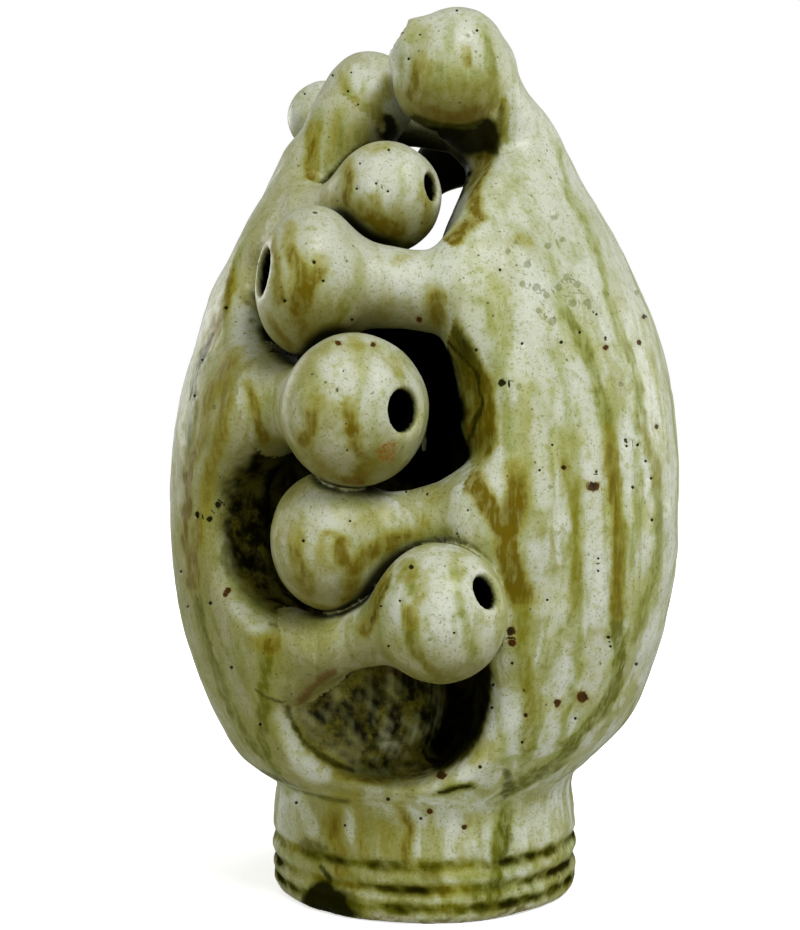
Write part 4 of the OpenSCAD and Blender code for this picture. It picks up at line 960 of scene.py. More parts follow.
def downhill():
    """Glaze that ran: seeded particles slide down the surface, drift together, and leave a trail in the grid."""
    rng = np.random.default_rng(11)
    n = 1500
    th, z = rng.uniform(-np.pi, np.pi, n), rng.uniform(70, 200, n)
    r = outer_r(z) + 1
    p = np.stack([r * np.sin(th), -r * np.cos(th), z], 1)
    for k, f in enumerate(FINGERS):
        m = slice(k * 60, k * 60 + 60)
        v = rng.normal(size=(60, 3))
        v /= np.linalg.norm(v, axis=1, keepdims=True)
        v[:, 2] = abs(v[:, 2])
        p[m] = np.array(f[2]) + v * (np.array([f[3]] * 3) + 1.0)
    for _ in range(3):
        p = p - slope(solid, p) * sample(solid, p)[:, None]
    p = p[np.abs(sample(solid, p)) < 0.6]
    n = len(p)
    amount = rng.lognormal(0, 0.75, n)
    kind = rng.random(n) < 0.33
    alive = np.ones(n, bool)
    drift = noise_grid(21, (8, 8, 34))
    trail = np.zeros((2,) + SHAPE, np.float32)
    pace = 0.6 if H < 1 else 0.9
    age = np.zeros(n)
    heading = np.zeros((n, 3))
    for _ in range(int(170 / pace)):
        nrm = slope(solid, p)
        g = np.array([0, 0, -1.0]) + nrm * nrm[:, 2:3]
        e = np.eye(3)[:2] * 2.0
        d = np.stack([sample(drift, p + e[0]) - sample(drift, p - e[0]), sample(drift, p + e[1]) - sample(drift, p - e[1]), np.zeros(n)], 1)
        g = g - 0.9 * d
        g -= nrm * (g * nrm).sum(1, keepdims=True)
        speed = np.linalg.norm(g, axis=1)
        heading = 0.7 * heading + 0.3 * g
        alive &= (speed > 0.16) & (p[:, 2] > 3) & (age < amount * 75 + 25)
        age += pace
        p = p + alive[:, None] * pace * heading / np.maximum(np.linalg.norm(heading, axis=1, keepdims=True), 1e-6)
        p = p - slope(solid, p) * np.clip(sample(solid, p), -1, 1)[:, None]
        q = np.round((p - np.array([X[0], Y[0], Z[0]])) / H).astype(int)
        ok = alive & (q > 1).all(1) & (q < np.array(SHAPE) - 2).all(1)
        w = amount * np.clip(age / 12, 0, 1)
        for layer, m in ((0, ok), (1, ok & kind)):
            np.add.at(trail[layer], (q[m, 0], q[m, 1], q[m, 2]), w[m])
    for _ in range(3 if H < 1 else 2):
        for axis in (1, 2, 3):
            t = trail * 0.5
            a = [slice(None)] * 4
            b = [slice(None)] * 4
            a[axis], b[axis] = slice(1, None), slice(0, -1)
            t[tuple(a)] += 0.25 * trail[tuple(b)]
            t[tuple(b)] += 0.25 * trail[tuple(a)]
            trail = t
    return trail * (H / 0.8) ** 2


def wobble(p, size, seed):
    """Cheap smooth noise in -1..1 at points."""
    rng = np.random.default_rng(seed)
    out = np.zeros(len(p), np.float32)
    for _ in range(5):
        k = rng.normal(size=3)
        k *= 2 * np.pi / (size * rng.uniform(0.7, 1.6) * np.linalg.norm(k))
        out += np.sin(p @ k + rng.uniform(0, 7))
    return out / 2.6


def painted(p, nrm, own, front):
    """Strengths of the four kinds of run at points, and the nearest speck."""
    depth = 370 + p[:, 1]
    u = p[:, 0] * 370 / depth + 0.35 * wobble(p, 5, 1) + 0.15 * wobble(p, 1.8, 2)
    w = 106 + (p[:, 2] - 106) * 370 / depth
    got = {k: np.zeros(len(p), np.float32) for k in "oardp"}
    uneven = 1 + 0.28 * wobble(p, 11, 31)
    rows = {k: np.nonzero((own == k) & (front > 0))[0] for k in range(11)}
    for who, kind, strength, width, path in RUNS:
        i = rows[who]
        q = np.array(path)
        r = width * (0.57 if kind == "a" else 0.5)
        reach = 2.4 * r
        i = i[(u[i] > q[:, 0].min() - reach) & (u[i] < q[:, 0].max() + reach) & (w[i] > q[:, 1].min() - reach) & (w[i] < q[:, 1].max() + reach)]
        if not len(i):
            continue
        d = np.full(len(i), 1e9)
        along = np.zeros(len(i))
        done = 0.0
        for a, b in zip(q[:-1], q[1:]):
            e = b - a
            t = np.clip(((u[i] - a[0]) * e[0] + (w[i] - a[1]) * e[1]) / max(e @ e, 1e-9), 0, 1)
            off = np.hypot(u[i] - a[0] - t * e[0], w[i] - a[1] - t * e[1])
            along = np.where(off < d, done + t * np.hypot(*e), along)
            d = np.minimum(d, off)
            done += np.hypot(*e)
        if kind in "oa" and done > 1.5 * width:  # a run starts thin and gathers
            strength = strength * (0.6 + 0.4 * step01(along, 0, min(1.5 * width, 0.4 * done)))
        d = d / uneven[i]
        got[kind][i] = np.maximum(got[kind][i], strength * step01(-d / r, -1.5, -0.5) * front[i])
        if kind in "oa":
            got["o"][i] = np.maximum(got["o"][i], 0.34 * strength * step01(-d / r, -2.4, -0.9) * front[i])
    spot = np.full((len(p), 3), 9.0, np.float32)
    info = np.zeros((len(p), 3), np.float32)
    best = np.full(len(p), 1e9)
    kinds = {"k": 0.0, "g": 1.0, "r": 2.0, "s": 3.0}
    u0 = p[:, 0] * 370 / depth
    for who, kind, r, points in SPECKS:
        for c in points:
            i = rows[who]
            dx, dz = u0[i] - c[0], w[i] - c[1]
            d = np.hypot(dx, dz)
            m = (d < r + 6) & (d - r < best[i])
            j = i[m]
            best[j] = (d - r)[m]
            spot[j] = np.stack([dx[m], dz[m], np.full(m.sum(), r)], 1)
            info[j] = np.stack([step01(-d[m], -r - 1.9, -r - 0.9), np.full(m.sum(), kinds[kind]), np.zeros(m.sum())], 1)
    return got, spot, info


def shade_data(p):
    """Everything the glaze needs to know at each point: colour of runs, painted highlights, depth inside with its
    painted shade, bareness, painted shade in crevices, on undersides and in holes, and specks.
    """
    nrm = slope(solid, p)
    q = np.clip(np.round((p + nrm * 0.3 - np.array([X[0], Y[0], Z[0]])) / H).astype(int), 0, np.array(SHAPE) - 1)
    own = OWN[q[:, 0], q[:, 1], q[:, 2]]
    away = p - np.array([0, -370, 106])
    away /= np.linalg.norm(away, axis=1, keepdims=True)
    facing = -(nrm * away).sum(1)
    front = step01(facing, 0.02, 0.2) * step01(-p[:, 1], -8, 0)
    got, spot, info = painted(p, nrm, own, front)
    d = -sample(FA, p)
    w1 = wobble(p, 7, 7) + 0.6 * wobble(p, 2.5, 8)
    inside = (own == 0) & (p[:, 2] > 32)
    late = 6.5 * step01(p[:, 0], -12, 0) * step01(p[:, 2], 92, 104)  # the right bay's rim keeps its amber edge
    # painted shade inside the bud over its olive-black glaze, stronger the further below the outer skin
    inside_dark_and_shade = np.where(inside, step01(d - late + 0.8 * w1, 3.6, 7.6), 0)
    # painted shade: the walls of the fingers' bores and tone holes are painted black
    shade_black = np.where(own > 0, step01(-sample(plain, p), 0.5, 1.6), 0)
    # the swelling behind the lowest opening is glazed and mottled, with painted shade over its top below the first left
    # finger; past its right side it is painted black as shade
    off = np.linalg.norm(p - np.array(MOUND[:3]), axis=1) - MOUND[3]
    cellar = inside * step01(-p[:, 2], -80, -74) * step01(-p[:, 1], 0, 8)
    patchy = np.clip(0.88 + 0.24 * wobble(p, 6, 14) + 0.26 * wobble(p, 2.6, 15) + 0.30 * step01(p[:, 2], 50, 62), 0.2, 1)
    inside_dark_and_shade = np.where(cellar > 0, inside_dark_and_shade * (1 - (1 - patchy) * step01(-off, -3.0, -1.6) * cellar), inside_dark_and_shade)
    shade_black = np.maximum(shade_black, 0.93 * cellar * step01(off, 1.8, 4.0) * step01(d, 5, 9) * step01(p[:, 0], -22, -12))
    # the left lobe's tip belongs to its fourth finger
    a0, a1 = np.array(CHEEK[0], float), np.array(CHEEK[1], float)
    t = np.clip((p - a0) @ (a1 - a0) / ((a1 - a0) @ (a1 - a0)), 0, 1)
    tip = np.linalg.norm(p - a0 - t[:, None] * (a1 - a0), axis=1) - 8.3
    inside_dark_and_shade = inside_dark_and_shade * (1 - step01(-np.abs(tip), -3.4, -2.0) * step01(p[:, 2], 163, 171) * step01(-nrm[:, 0], -0.9, -0.5))
    # the hidden hands' fingers, seen only through the openings, are painted black as shade
    back = step01(p[:, 1], -2, 8) * step01(-nrm[:, 1], -0.15, 0.25) * (own >= 8) * (p[:, 0] > -20)
    shade_black = np.maximum(shade_black, 0.97 * back)
    # the foot of the rear slit, seen from the front through the right bay, is painted black as shade too
    seam = (np.abs(p[:, 0]) < 8) & (p[:, 1] > 0) & (p[:, 1] < 50) & (p[:, 2] > 98) & (p[:, 2] < 120) & (nrm[:, 1] < 0.5)
    shade_black = np.where(seam, 0.97, shade_black)
    flow = sample(TRAIL[0], p), sample(TRAIL[1], p)
    rest = (1 - 0.9 * front) * (1 - inside_dark_and_shade)
    streak = step01(flow[0], 0.22, 1.5)
    warm = step01(flow[1], 0.4, 1.9)
    olive = np.maximum(got["o"], 0.68 * streak * rest)
    amber = np.maximum(got["a"], 0.66 * warm * rest)
    dark_glaze_and_shade = got["d"].copy()
    # the right bay's inner lip: amber and olive glaze, with painted shade that grows towards the top
    bay = step01(p[:, 0], 3, 9) * step01(-p[:, 1], 16, 26) * step01(p[:, 2], 101, 108) * step01(-p[:, 2], -140, -134)
    lip = bay * step01(d, 1.6, 4.0) * step01(-d, -15, -11) * inside
    amber = np.maximum(amber, lip * np.clip(0.86 + 0.3 * wobble(p, 5, 17), 0, 1))
    olive = np.maximum(olive, 0.8 * lip)
    dark_glaze_and_shade = np.maximum(dark_glaze_and_shade, lip * (0.22 + 0.55 * step01(p[:, 2], 118, 132)))
    low = p[:, 2] < 27
    radius = np.hypot(p[:, 0], p[:, 1])
    for zc, wide, power in ((13.1, 1.5, 0.75), (7.9, 1.5, 0.7), (3.7, 1.6, 0.85)):
        g = np.exp(-(((p[:, 2] - zc) / wide) ** 2)) * low * (radius > 30) * np.clip(0.85 + 0.25 * w1, 0, 1.1)
        olive = np.maximum(olive, np.clip(1.5 * power * g, 0, 1))
        amber = np.maximum(amber, np.clip(g * (0.46 + 0.5 * wobble(p, 15, 21)), 0, 0.8))
        dark_glaze_and_shade = np.maximum(dark_glaze_and_shade, np.clip(g * (0.58 + 0.42 * wobble(p, 13, 9)), 0, 0.84))
    olive = np.maximum(olive, 0.58 * step01(-p[:, 2], -17, -11) * (0.7 + 0.4 * w1) * low)
    # painted shade in crevices, from how much clay lies close in front of the surface
    crevice_shade = np.zeros(len(p), np.float32)
    for h, w in ((1.2, 0.42), (2.4, 0.36), (4.6, 0.30)):
        crevice_shade += w * np.clip(1 - sample(solid, p + nrm * h) / h, 0, 1)
    bottom = np.where(p[:, 2] < 20, step01(-(p[:, 2] + 0.9 * wobble(p, 9, 5) + 0.4 * wobble(p, 3, 6)), -2.2, -0.9), 0)
    bottom = np.where((p[:, 2] < 31) & (radius < 30.5), 1.0, bottom)
    left = step01(-p[:, 0], -8, 24) * np.where(own == 0, step01(-p[:, 1], 6, 32), np.where(own == 8, 0.1, 0.55))
    left = np.where(own == 6, np.maximum(left, 0.22), left)
    # painted shade on the undersides, weaker on the body
    under = step01(-nrm[:, 2], -0.1, 0.9) * (p[:, 2] > 30) * np.where(own == 0, 0.15 + 0.35 * step01(p[:, 2], 45, 70), 1)
    return nrm, np.stack([olive, amber, dark_glaze_and_shade], 1), np.stack([inside_dark_and_shade, bottom, crevice_shade], 1), \
        np.stack([left, under, got["r"]], 1), spot, np.stack([info[:, 0], info[:, 1], shade_black], 1), \
        np.stack([got["p"], got["p"] * 0, got["p"] * 0], 1)


TRAIL = downhill()
note("runs traced")
OWN = owners()


def give(me, name, values, domain="POINT"):
    at = me.attributes.new(name, "FLOAT_VECTOR", domain)
    at.data.foreach_set("vector", np.ascontiguousarray(values, np.float32).ravel())


def tidy(P, F):
    """Welds vertices that coincide, drops flaps of no thickness and closes the odd sliver left open by a cut."""
    step = 1000 * 2.0 ** -20
    spots, inv = np.unique(np.round(P / step).astype(np.int64), axis=0, return_inverse=True)
    P, F = spots * step, inv.reshape(-1)[F]
    for turn in range(4):
        F = F[(F[:, 0] != F[:, 1]) & (F[:, 1] != F[:, 2]) & (F[:, 0] != F[:, 2])]
        low = np.argmin(F, axis=1)
        at = np.arange(len(F))
        sign = np.where(F[at, (low + 1) % 3] < F[at, (low + 2) % 3], 1, -1)
        _, group = np.unique(np.sort(F, axis=1), axis=0, return_inverse=True)
        group = group.reshape(-1)
        net = np.bincount(group, weights=sign)
        order = np.argsort(group * 4 + (sign != np.sign(net[group])), kind="stable")
        head = np.ones(len(F), bool)
        head[1:] = group[order][1:] != group[order][:-1]
        keep = np.zeros(len(F), bool)
        keep[order[head]] = net[group[order[head]]] != 0
        F = F[keep]
        a = np.concatenate([F[:, 0], F[:, 1], F[:, 2]])
        b = np.concatenate([F[:, 1], F[:, 2], F[:, 0]])
        n = len(P)
        fwd, back = a * n + b, b * n + a
        keys, counts = np.unique(fwd, return_counts=True)
        where = np.searchsorted(keys, back)
        where[where == len(keys)] = 0
        opposite = np.where(keys[where] == back, counts[where], 0)
        mine = counts[np.searchsorted(keys, fwd)]
        odd = np.nonzero(mine > opposite)[0]
        if not len(odd):
            break
        ways = {}
        for k in sorted(set(fwd[odd].tolist())):
            ways.setdefault(k % n, []).append(k // n)  # a patch runs each open edge backwards
        fresh = []
        while ways:
            start = min(ways)
            path = [start]
            while path[-1] in ways:
                here = path[-1]
                path.append(ways[here].pop())
                if not ways[here]:
                    del ways[here]
                if path[-1] in path[:-1]:
                    loop = path[path.index(path[-1]):-1]
                    fresh += [(loop[0], loop[i], loop[i + 1]) for i in range(1, len(loop) - 1)]
                    path = path[:path.index(path[-1]) + 1]
        if fresh:
            F = np.concatenate([F, np.array(fresh, F.dtype)])
    crumb = np.zeros(len(P), bool)  # a shell of four faces
    crumb[F[(np.bincount(F.ravel(), minlength=len(P))[F] == 3).all(1)]] = True
    F = F[~crumb[F].any(1)]
    used, inv = np.unique(F, return_inverse=True)
    return P[used], inv.reshape(F.shape)


def finish_mesh(ob):
    me = ob.data
    me.calc_loop_triangles()
    tri = np.empty(len(me.loop_triangles) * 3, np.int32)
    me.loop_triangles.foreach_get("vertices", tri)
    co = np.empty(len(me.vertices) * 3, np.float32)
    me.vertices.foreach_get("co", co)
    tidied = mesh_object("tidied", *tidy(co.reshape(-1, 3) * 1000.0, tri.reshape(-1, 3).astype(np.int64)))
    ob.data, me = tidied.data, ob.data
    bpy.data.objects.remove(tidied)
    bpy.data.meshes.remove(me)
    me = ob.data
    for name in [a.name for a in me.attributes if not a.is_internal and not a.is_required]:
        if name in me.attributes:
            me.attributes.remove(me.attributes[name])
    n = len(me.vertices)
    co = np.empty(n * 3, np.float32)
    me.vertices.foreach_get("co", co)
    p = co.reshape(-1, 3) * 1000.0
    nrm, runs, bare_and_shade, tint_and_shade, spot, info, pale_and_highlight = shade_data(p.astype(np.float64))
    me.polygons.foreach_set("use_smooth", np.ones(len(me.polygons), bool))
    me.set_sharp_from_angle(angle=math.radians(40))
    loops = np.empty(len(me.loops), np.int32)
    me.loops.foreach_get("vertex_index", loops)
    total = np.empty(len(me.polygons), np.int32)
    me.polygons.foreach_get("loop_total", total)
    flat = np.empty(len(me.polygons) * 3, np.float32)
    me.polygons.foreach_get("normal", flat)
    per = np.repeat(flat.reshape(-1, 3), total, axis=0)
    lean = nrm[loops].astype(np.float32)
    agree = ((lean * per).sum(1) > 0.72) | (np.abs(per).sum(1) < 0.5)
    give(me, "custom_normal", np.where(agree[:, None], lean, per), "CORNER")
    give(me, "runs", runs)
    give(me, "bare_and_shade", bare_and_shade)
    give(me, "tint_and_shade", tint_and_shade)
    give(me, "spot", spot)
    give(me, "info", info)
    give(me, "pale_and_highlight", pale_and_highlight)
    me.update()


# ------------------------------------------------------------------ materials
class Nodes:
    """A short way to write node trees."""

    def __init__(self, name):
        self.m = bpy.data.materials.new(name)
        self.m.use_nodes = True
        self.t = self.m.node_tree
        self.bsdf = self.t.nodes["Principled BSDF"]
        self.x = -400

    def add(self, kind, **props):
        n = self.t.nodes.new(kind)
        self.x -= 20
        n.location = (self.x, 0)
        for k, v in props.items():
            setattr(n, k, v)
        return n

    def put(self, socket, value):
        if isinstance(value, bpy.types.NodeSocket):
            self.t.links.new(value, socket)
        elif isinstance(value, (tuple, list)) and len(value) == 3 and socket.type == "RGBA":
            socket.default_value = (*value, 1)
        else:
            socket.default_value = value

    def math(self, op, a, b=0.0, c=0.0, clamp=False):
        n = self.add("ShaderNodeMath", operation=op, use_clamp=clamp)
        for s, v in zip(n.inputs, (a, b, c)):
            self.put(s, v)
        return n.outputs[0]

    def mix(self, f, a, b, blend="MIX"):
        n = self.add("ShaderNodeMix", data_type="RGBA", blend_type=blend, clamp_factor=True)
        self.put(n.inputs[0], f)
        self.put(n.inputs[6], a)
        self.put(n.inputs[7], b)
        return n.outputs[2]

    def ramp(self, v, lo, hi, a=0.0, b=1.0):
        n = self.add("ShaderNodeMapRange", interpolation_type="SMOOTHSTEP")
        for s, x in zip(n.inputs, (v, lo, hi, a, b)):
            self.put(s, x)
        return n.outputs[0]

    def noise(self, where, scale, detail=2.0, rough=0.55, warp=0.0):
        n = self.add("ShaderNodeTexNoise")
        self.put(n.inputs["Vector"], where)
        self.put(n.inputs["Scale"], scale)
        self.put(n.inputs["Detail"], detail)
        self.put(n.inputs["Roughness"], rough)
        self.put(n.inputs["Distortion"], warp)
        return n.outputs[0]

    def cells(self, where, scale, feature="F1"):
        n = self.add("ShaderNodeTexVoronoi", feature=feature)
        self.put(n.inputs["Vector"], where)
        self.put(n.inputs["Scale"], scale)
        return n

    def attr(self, name):
        n = self.add("ShaderNodeAttribute", attribute_name=name)
        s = self.add("ShaderNodeSeparateXYZ")
        self.put(s.inputs[0], n.outputs["Vector"])
        return s.outputs[0], s.outputs[1], s.outputs[2]


def lin(r, g, b):
    return tuple(((c / 255 + 0.055) / 1.055) ** 2.4 if c > 10 else c / 255 / 12.92 for c in (r, g, b))


def glaze(name, pale=(205, 210, 192), mid=(168, 171, 120), dull=0.0):
    N = Nodes(name)
    where = N.add("ShaderNodeTexCoord").outputs["Object"]
    olive, amber, dark_glaze_and_shade = N.attr("runs")
    inside_dark_and_shade, bare, crevice_shade = N.attr("bare_and_shade")
    left, under, rust = N.attr("tint_and_shade")
    sx, sz, sr = N.attr("spot")
    sw, sk, shade_black = N.attr("info")
    pale_and_highlight, _, _ = N.attr("pale_and_highlight")

    long = N.add("ShaderNodeMapping")
    N.put(long.inputs["Vector"], where)
    long.inputs["Scale"].default_value = (1.0, 1.0, 0.22)
    cloud = N.noise(where, 75, 2, 0.6, 0.4)
    fine = N.noise(where, 420, 3, 0.65)
    grain = N.noise(where, 1700, 2, 0.7)
    streaks = N.noise(long.outputs[0], 170, 2, 0.6, 0.6)
    # thin glaze: pale where it lies thin, greener in clouds and long streaks
    height = N.add("ShaderNodeSeparateXYZ")
    N.put(height.inputs[0], where)
    up = N.ramp(height.outputs[2], 0.105, 0.155)
    c = N.mix(N.math("MULTIPLY", N.ramp(cloud, 0.38, 0.68), N.math("MULTIPLY_ADD", up, -0.55, 0.9)), lin(*pale), lin(*mid))
    c = N.mix(N.math("MULTIPLY", N.ramp(streaks, 0.45, 0.60), N.math("MULTIPLY_ADD", up, -0.3, 0.6)), c, lin(138, 140, 80))
    c = N.mix(N.math("MULTIPLY", N.ramp(fine, 0.50, 0.70), N.math("MULTIPLY_ADD", up, -0.2, 0.42)), c, lin(124, 125, 66))
    c = N.mix(N.math("MULTIPLY", left, 0.68), c, lin(122, 117, 66))
    # pale glaze, and painted highlight on the bulbs, lobes and foot ridges, where the pale runs lie
    c = N.mix(N.math("MULTIPLY", pale_and_highlight, 0.85), c, N.mix(N.ramp(fine, 0.45, 0.75), lin(206, 210, 192), lin(176, 180, 140)))
    # the grain of ash
    c = N.mix(N.ramp(grain, 0.54, 0.76, 0.0, 0.5), c, lin(80, 81, 40))
    c = N.mix(N.ramp(grain, 0.46, 0.26, 0.0, 0.20), c, lin(206, 208, 184))
    # runs, broken up by grain
    rough_edge = N.math("MULTIPLY_ADD", fine, 0.5, -0.25)
    fibre = N.ramp(N.noise(long.outputs[0], 560, 2, 0.6, 0.3), 0.36, 0.60, 0.84, 1.12)
    o = N.math("ADD", olive, N.math("MULTIPLY", rough_edge, N.ramp(olive, 0.02, 0.3)))
    a = N.math("ADD", amber, N.math("MULTIPLY", rough_edge, N.ramp(amber, 0.02, 0.3)))
    o = N.math("MULTIPLY", o, fibre, clamp=True)
    a = N.math("MULTIPLY", a, fibre, clamp=True)
    c = N.mix(N.math("MULTIPLY", o, 0.97), c, N.mix(N.ramp(o, 0.45, 1.0), lin(124, 134, 62), lin(94, 98, 18)))
    c = N.mix(N.math("MULTIPLY", a, 0.98), c, N.mix(N.ramp(a, 0.45, 1.0), lin(134, 124, 22), lin(102, 86, 2)))
    # painted shade on undersides, in a browned olive
    c = N.mix(N.math("MULTIPLY", under, 0.68), c, lin(82, 70, 14))
    c = N.mix(N.ramp(grain, 0.55, 0.76, 0.0, 0.28), c, lin(60, 58, 20))
    # pinholes and small iron specks everywhere
    pin = N.cells(where, 300)
    big = N.cells(where, 95)
    pinhole = N.math("MULTIPLY", N.ramp(pin.outputs["Distance"], 0.12, 0.06), N.math("GREATER_THAN", cloud, 0.52))
    iron = N.math("MULTIPLY", N.ramp(big.outputs["Distance"], 0.07, 0.04), N.math("LESS_THAN", streaks, 0.47))
    c = N.mix(N.math("MULTIPLY", pinhole, 0.7), c, lin(44, 42, 24))
    c = N.mix(N.math("MULTIPLY", iron, 0.85), c, lin(46, 30, 14))
    # listed specks: an exact disc about each one, with a ragged edge
    dist = N.math("POWER", N.math("ADD", N.math("MULTIPLY", sx, sx), N.math("MULTIPLY", sz, sz)), 0.5)
    ragged = N.math("MULTIPLY_ADD", fine, 2.0, -0.12)
    near = N.math("DIVIDE", dist, N.math("MULTIPLY", sr, ragged))
    disc = N.math("MULTIPLY", N.ramp(near, 1.12, 0.72), sw)
    halo = N.math("MULTIPLY", N.ramp(near, 2.1, 0.9), sw)
    is_grey = N.math("COMPARE", sk, 1.0, 0.3)
    is_red = N.math("COMPARE", sk, 2.0, 0.3)
    is_dust = N.math("COMPARE", sk, 3.0, 0.3)
    c = N.mix(N.math("MULTIPLY", N.math("MULTIPLY", halo, is_red), 0.22), c, lin(140, 108, 50))
    hue = N.mix(is_grey, lin(16, 14, 10), lin(98, 106, 84))
    hue = N.mix(is_red, hue, N.mix(N.ramp(fine, 0.4, 0.62), lin(28, 13, 4), lin(72, 36, 10)))
    hue = N.mix(is_dust, hue, lin(140, 78, 34))
    amount = N.mix(is_grey, (0.96, 0.96, 0.96), (0.5, 0.5, 0.5))
    amount = N.mix(is_dust, amount, N.mix(N.ramp(grain, 0.42, 0.6), (0.05, 0.05, 0.05), (0.8, 0.8, 0.8)))
    c = N.mix(N.math("MULTIPLY", disc, amount), c, hue)
    # inside the bud: olive-black blotched glaze, with painted shade that turns it black up in the lobes
    inner = N.mix(N.ramp(N.noise(where, 190, 3, 0.62, 0.1), 0.40, 0.66), lin(22, 20, 5), lin(108, 103, 42))
    inner = N.mix(N.ramp(grain, 0.5, 0.7, 0.0, 0.6), inner, lin(20, 20, 8))
    inner = N.mix(N.ramp(height.outputs[2], 0.082, 0.115), inner, lin(4, 4, 2))
    c = N.mix(inside_dark_and_shade, c, inner)
    c = N.mix(N.math("MULTIPLY", rust, 0.78), c, lin(78, 34, 6))
    c = N.mix(shade_black, c, lin(3, 3, 2))
    # bare clay where the glaze stops above the ground
    rough_clay = N.mix(N.ramp(fine, 0.35, 0.65), lin(176, 174, 152), lin(120, 117, 92))
    c = N.mix(bare, c, rough_clay)
    # nearly black runs: nearly black glaze, and painted shade under and between the fingers
    c = N.mix(N.math("MULTIPLY", N.ramp(N.math("ADD", dark_glaze_and_shade, N.math("MULTIPLY", rough_edge, N.ramp(dark_glaze_and_shade, 0.02, 0.3))), 0.0, 0.85), 0.97), c, N.mix(N.ramp(dark_glaze_and_shade, 0.45, 0.9), lin(60, 62, 16), lin(15, 14, 3)))
    # painted shade in the crevices
    c = N.mix(N.ramp(crevice_shade, 0.38, 0.95, 0.0, 0.95), c, lin(8, 8, 3))
    # the thicker and darker the glaze, the less blue it lets through
    part = N.add("ShaderNodeSeparateColor")
    N.put(part.inputs[0], c)
    join = N.add("ShaderNodeCombineColor")
    N.put(join.inputs[0], part.outputs[0])
    N.put(join.inputs[1], part.outputs[1])
    N.put(join.inputs[2], N.math("MULTIPLY", part.outputs[2], N.ramp(part.outputs[2], 0.02, 0.44, 0.58, 1.0)))
    N.put(N.bsdf.inputs["Base Color"], join.outputs[0])
    r = N.math("ADD", N.ramp(fine, 0.3, 0.7, 0.32, 0.46), N.math("MULTIPLY", bare, 0.4), clamp=True)
    N.put(N.bsdf.inputs["Roughness"], N.math("ADD", r, dull, clamp=True))
    dim = N.math("MAXIMUM", N.math("MAXIMUM", N.math("MAXIMUM", inside_dark_and_shade, shade_black), N.math("MAXIMUM", disc, rust)), N.math("MAXIMUM", bare, dark_glaze_and_shade))
    N.put(N.bsdf.inputs["Specular IOR Level"], N.math("SUBTRACT", N.math("MULTIPLY_ADD", dim, -0.24, 0.28), N.math("MULTIPLY", N.math("MAXIMUM", o, a), 0.14), clamp=True))
    N.put(N.bsdf.inputs["Specular Tint"], N.mix(N.math("MAXIMUM", o, a), (1.0, 1.0, 0.95), (0.8, 0.72, 0.2)))
    high = N.math("ADD", N.math("MULTIPLY", fine, 0.13), N.math("MULTIPLY", grain, 0.045))
    high = N.math("ADD", high, N.math("MULTIPLY", N.math("MAXIMUM", olive, amber), 0.10))
    high = N.math("SUBTRACT", high, N.math("MULTIPLY", N.math("MULTIPLY", N.ramp(dist, 1.1, 0.2), sw), 0.15))
    bump = N.add("ShaderNodeBump")
    N.put(bump.inputs["Strength"], 0.9)
    N.put(bump.inputs["Distance"], 0.001)
    N.put(bump.inputs["Height"], high)
    N.put(N.bsdf.inputs["Normal"], bump.outputs[0])
    return N.m


MATERIALS = {
    "ash_glaze": glaze("ash_glaze"),
    "foot_glaze": glaze("foot_glaze"),
    "well_glaze": glaze("well_glaze"),
    "bare_clay": glaze("bare_clay", dull=0.1),
}
SLOT = {n: "ash_glaze" for n in pieces}
SLOT |= {n: "well_glaze" for n in ("well_bowl", "left_well_wall", "right_well_wall", "rear_septum", "left_front_rim",
                                   "right_front_rim", "left_rear_rim", "right_rear_rim", "left_top_cap")}
SLOT |= {"foot_floor": "bare_clay", "left_labium": "bare_clay", "right_labium": "bare_clay", "foot_ring": "foot_glaze"}
for name, ob in sorted(pieces.items()):
    finish_mesh(ob)
    ob.data.materials.clear()
    ob.data.materials.append(MATERIALS[SLOT[name]])
    if name == "whole":
        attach(ob, "root")
        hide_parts(*sorted(frame["nodes"]))
        continue
    ob.name = ob.data.name = name + "_fired"
    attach(ob, "root")
    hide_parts(name)
note("shaded")

paper = bpy.data.materials.new("paper")
paper.use_nodes = True
paper.node_tree.nodes["Principled BSDF"].inputs["Base Color"].default_value = (0.9, 0.9, 0.9, 1)

# ------------------------------------------------------------------ studio
floor = bpy.data.meshes.new("floor")
floor.from_pydata([(-3, -3, 0), (3, -3, 0), (3, 3, 0), (-3, 3, 0)], [], [(0, 1, 2, 3)])
floor = bpy.data.objects.new("floor", floor)
bpy.context.scene.collection.objects.link(floor)
paper.node_tree.nodes["Principled BSDF"].inputs["Roughness"].default_value = 0.9
paper.node_tree.nodes["Principled BSDF"].inputs["Specular IOR Level"].default_value = 0.1
paper.node_tree.nodes["Principled BSDF"].inputs["Emission Color"].default_value = (1, 1, 1, 1)
ray = paper.node_tree.nodes.new("ShaderNodeLightPath")
glow = paper.node_tree.nodes.new("ShaderNodeMath")
glow.operation = "MULTIPLY"
spread = paper.node_tree.nodes.new("ShaderNodeMapRange")
reach = paper.node_tree.nodes.new("ShaderNodeVectorMath")
reach.operation = "LENGTH"
place = paper.node_tree.nodes.new("ShaderNodeTexCoord")
paper.node_tree.links.new(place.outputs["Object"], reach.inputs[0])
paper.node_tree.links.new(reach.outputs["Value"], spread.inputs["Value"])
for k, v in zip(("From Min", "From Max", "To Min", "To Max"), (0.045, 0.15, 0.60, 1.05)):
    spread.inputs[k].default_value = v
paper.node_tree.links.new(spread.outputs[0], glow.inputs[1])
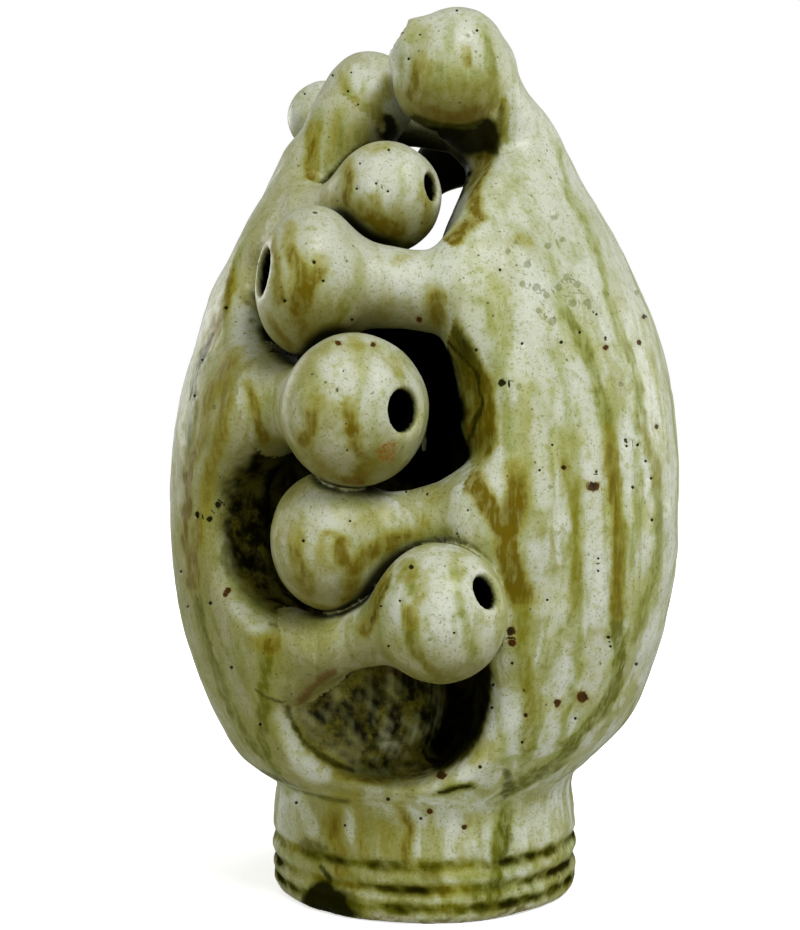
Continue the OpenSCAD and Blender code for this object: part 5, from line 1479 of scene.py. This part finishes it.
paper.node_tree.links.new(ray.outputs["Is Camera Ray"], glow.inputs[0])
paper.node_tree.links.new(glow.outputs[0], paper.node_tree.nodes["Principled BSDF"].inputs["Emission Strength"])
floor.data.materials.append(paper)
floor.visible_glossy = False

scene = bpy.context.scene
world = bpy.data.worlds.new("studio")
scene.world = world
world.use_nodes = True
nt = world.node_tree
nt.nodes.clear()
out = nt.nodes.new("ShaderNodeOutputWorld")
mix = nt.nodes.new("ShaderNodeMixShader")
path = nt.nodes.new("ShaderNodeLightPath")
lit = nt.nodes.new("ShaderNodeBackground")
seen = nt.nodes.new("ShaderNodeBackground")
lit.inputs[0].default_value = (1, 1, 1, 1)
lit.inputs[1].default_value = 0.27
seen.inputs[0].default_value = (1, 1, 1, 1)
seen.inputs[1].default_value = 1.0
nt.links.new(path.outputs["Is Camera Ray"], mix.inputs[0])
nt.links.new(lit.outputs[0], mix.inputs[1])
nt.links.new(seen.outputs[0], mix.inputs[2])
nt.links.new(mix.outputs[0], out.inputs[0])


def area(name, where, target, size, power):
    li = bpy.data.lights.new(name, "AREA")
    li.shape = "DISK"
    li.size = size
    li.energy = power
    ob = bpy.data.objects.new(name, li)
    ob.location = where
    ob.rotation_euler = (Vector(target) - Vector(where)).to_track_quat("-Z", "Y").to_euler()
    scene.collection.objects.link(ob)
    return ob


area("key", (0.42, -0.7, 0.95), (0, 0, 0.1), 0.5, 9.1)
area("fill", (-0.75, -0.6, 0.45), (0, 0, 0.1), 0.6, 1.9)
area("rim_left", (-0.7, 0.65, 0.35), (0, 0, 0.1), 0.5, 2.2)
area("rim_right", (0.8, 0.4, 0.3), (0, 0, 0.1), 0.5, 1.8)

cam = bpy.data.cameras.new("camera")
cam.lens = 57.3
camera = bpy.data.objects.new("camera", cam)
camera.location = (0, -0.370, 0.106)
camera.rotation_euler = (math.radians(90 - 0.39), 0, math.radians(0.93))
cam.clip_start = 0.01
scene.collection.objects.link(camera)
scene.camera = camera
scene.view_settings.view_transform = "Standard"

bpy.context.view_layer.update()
note("done")
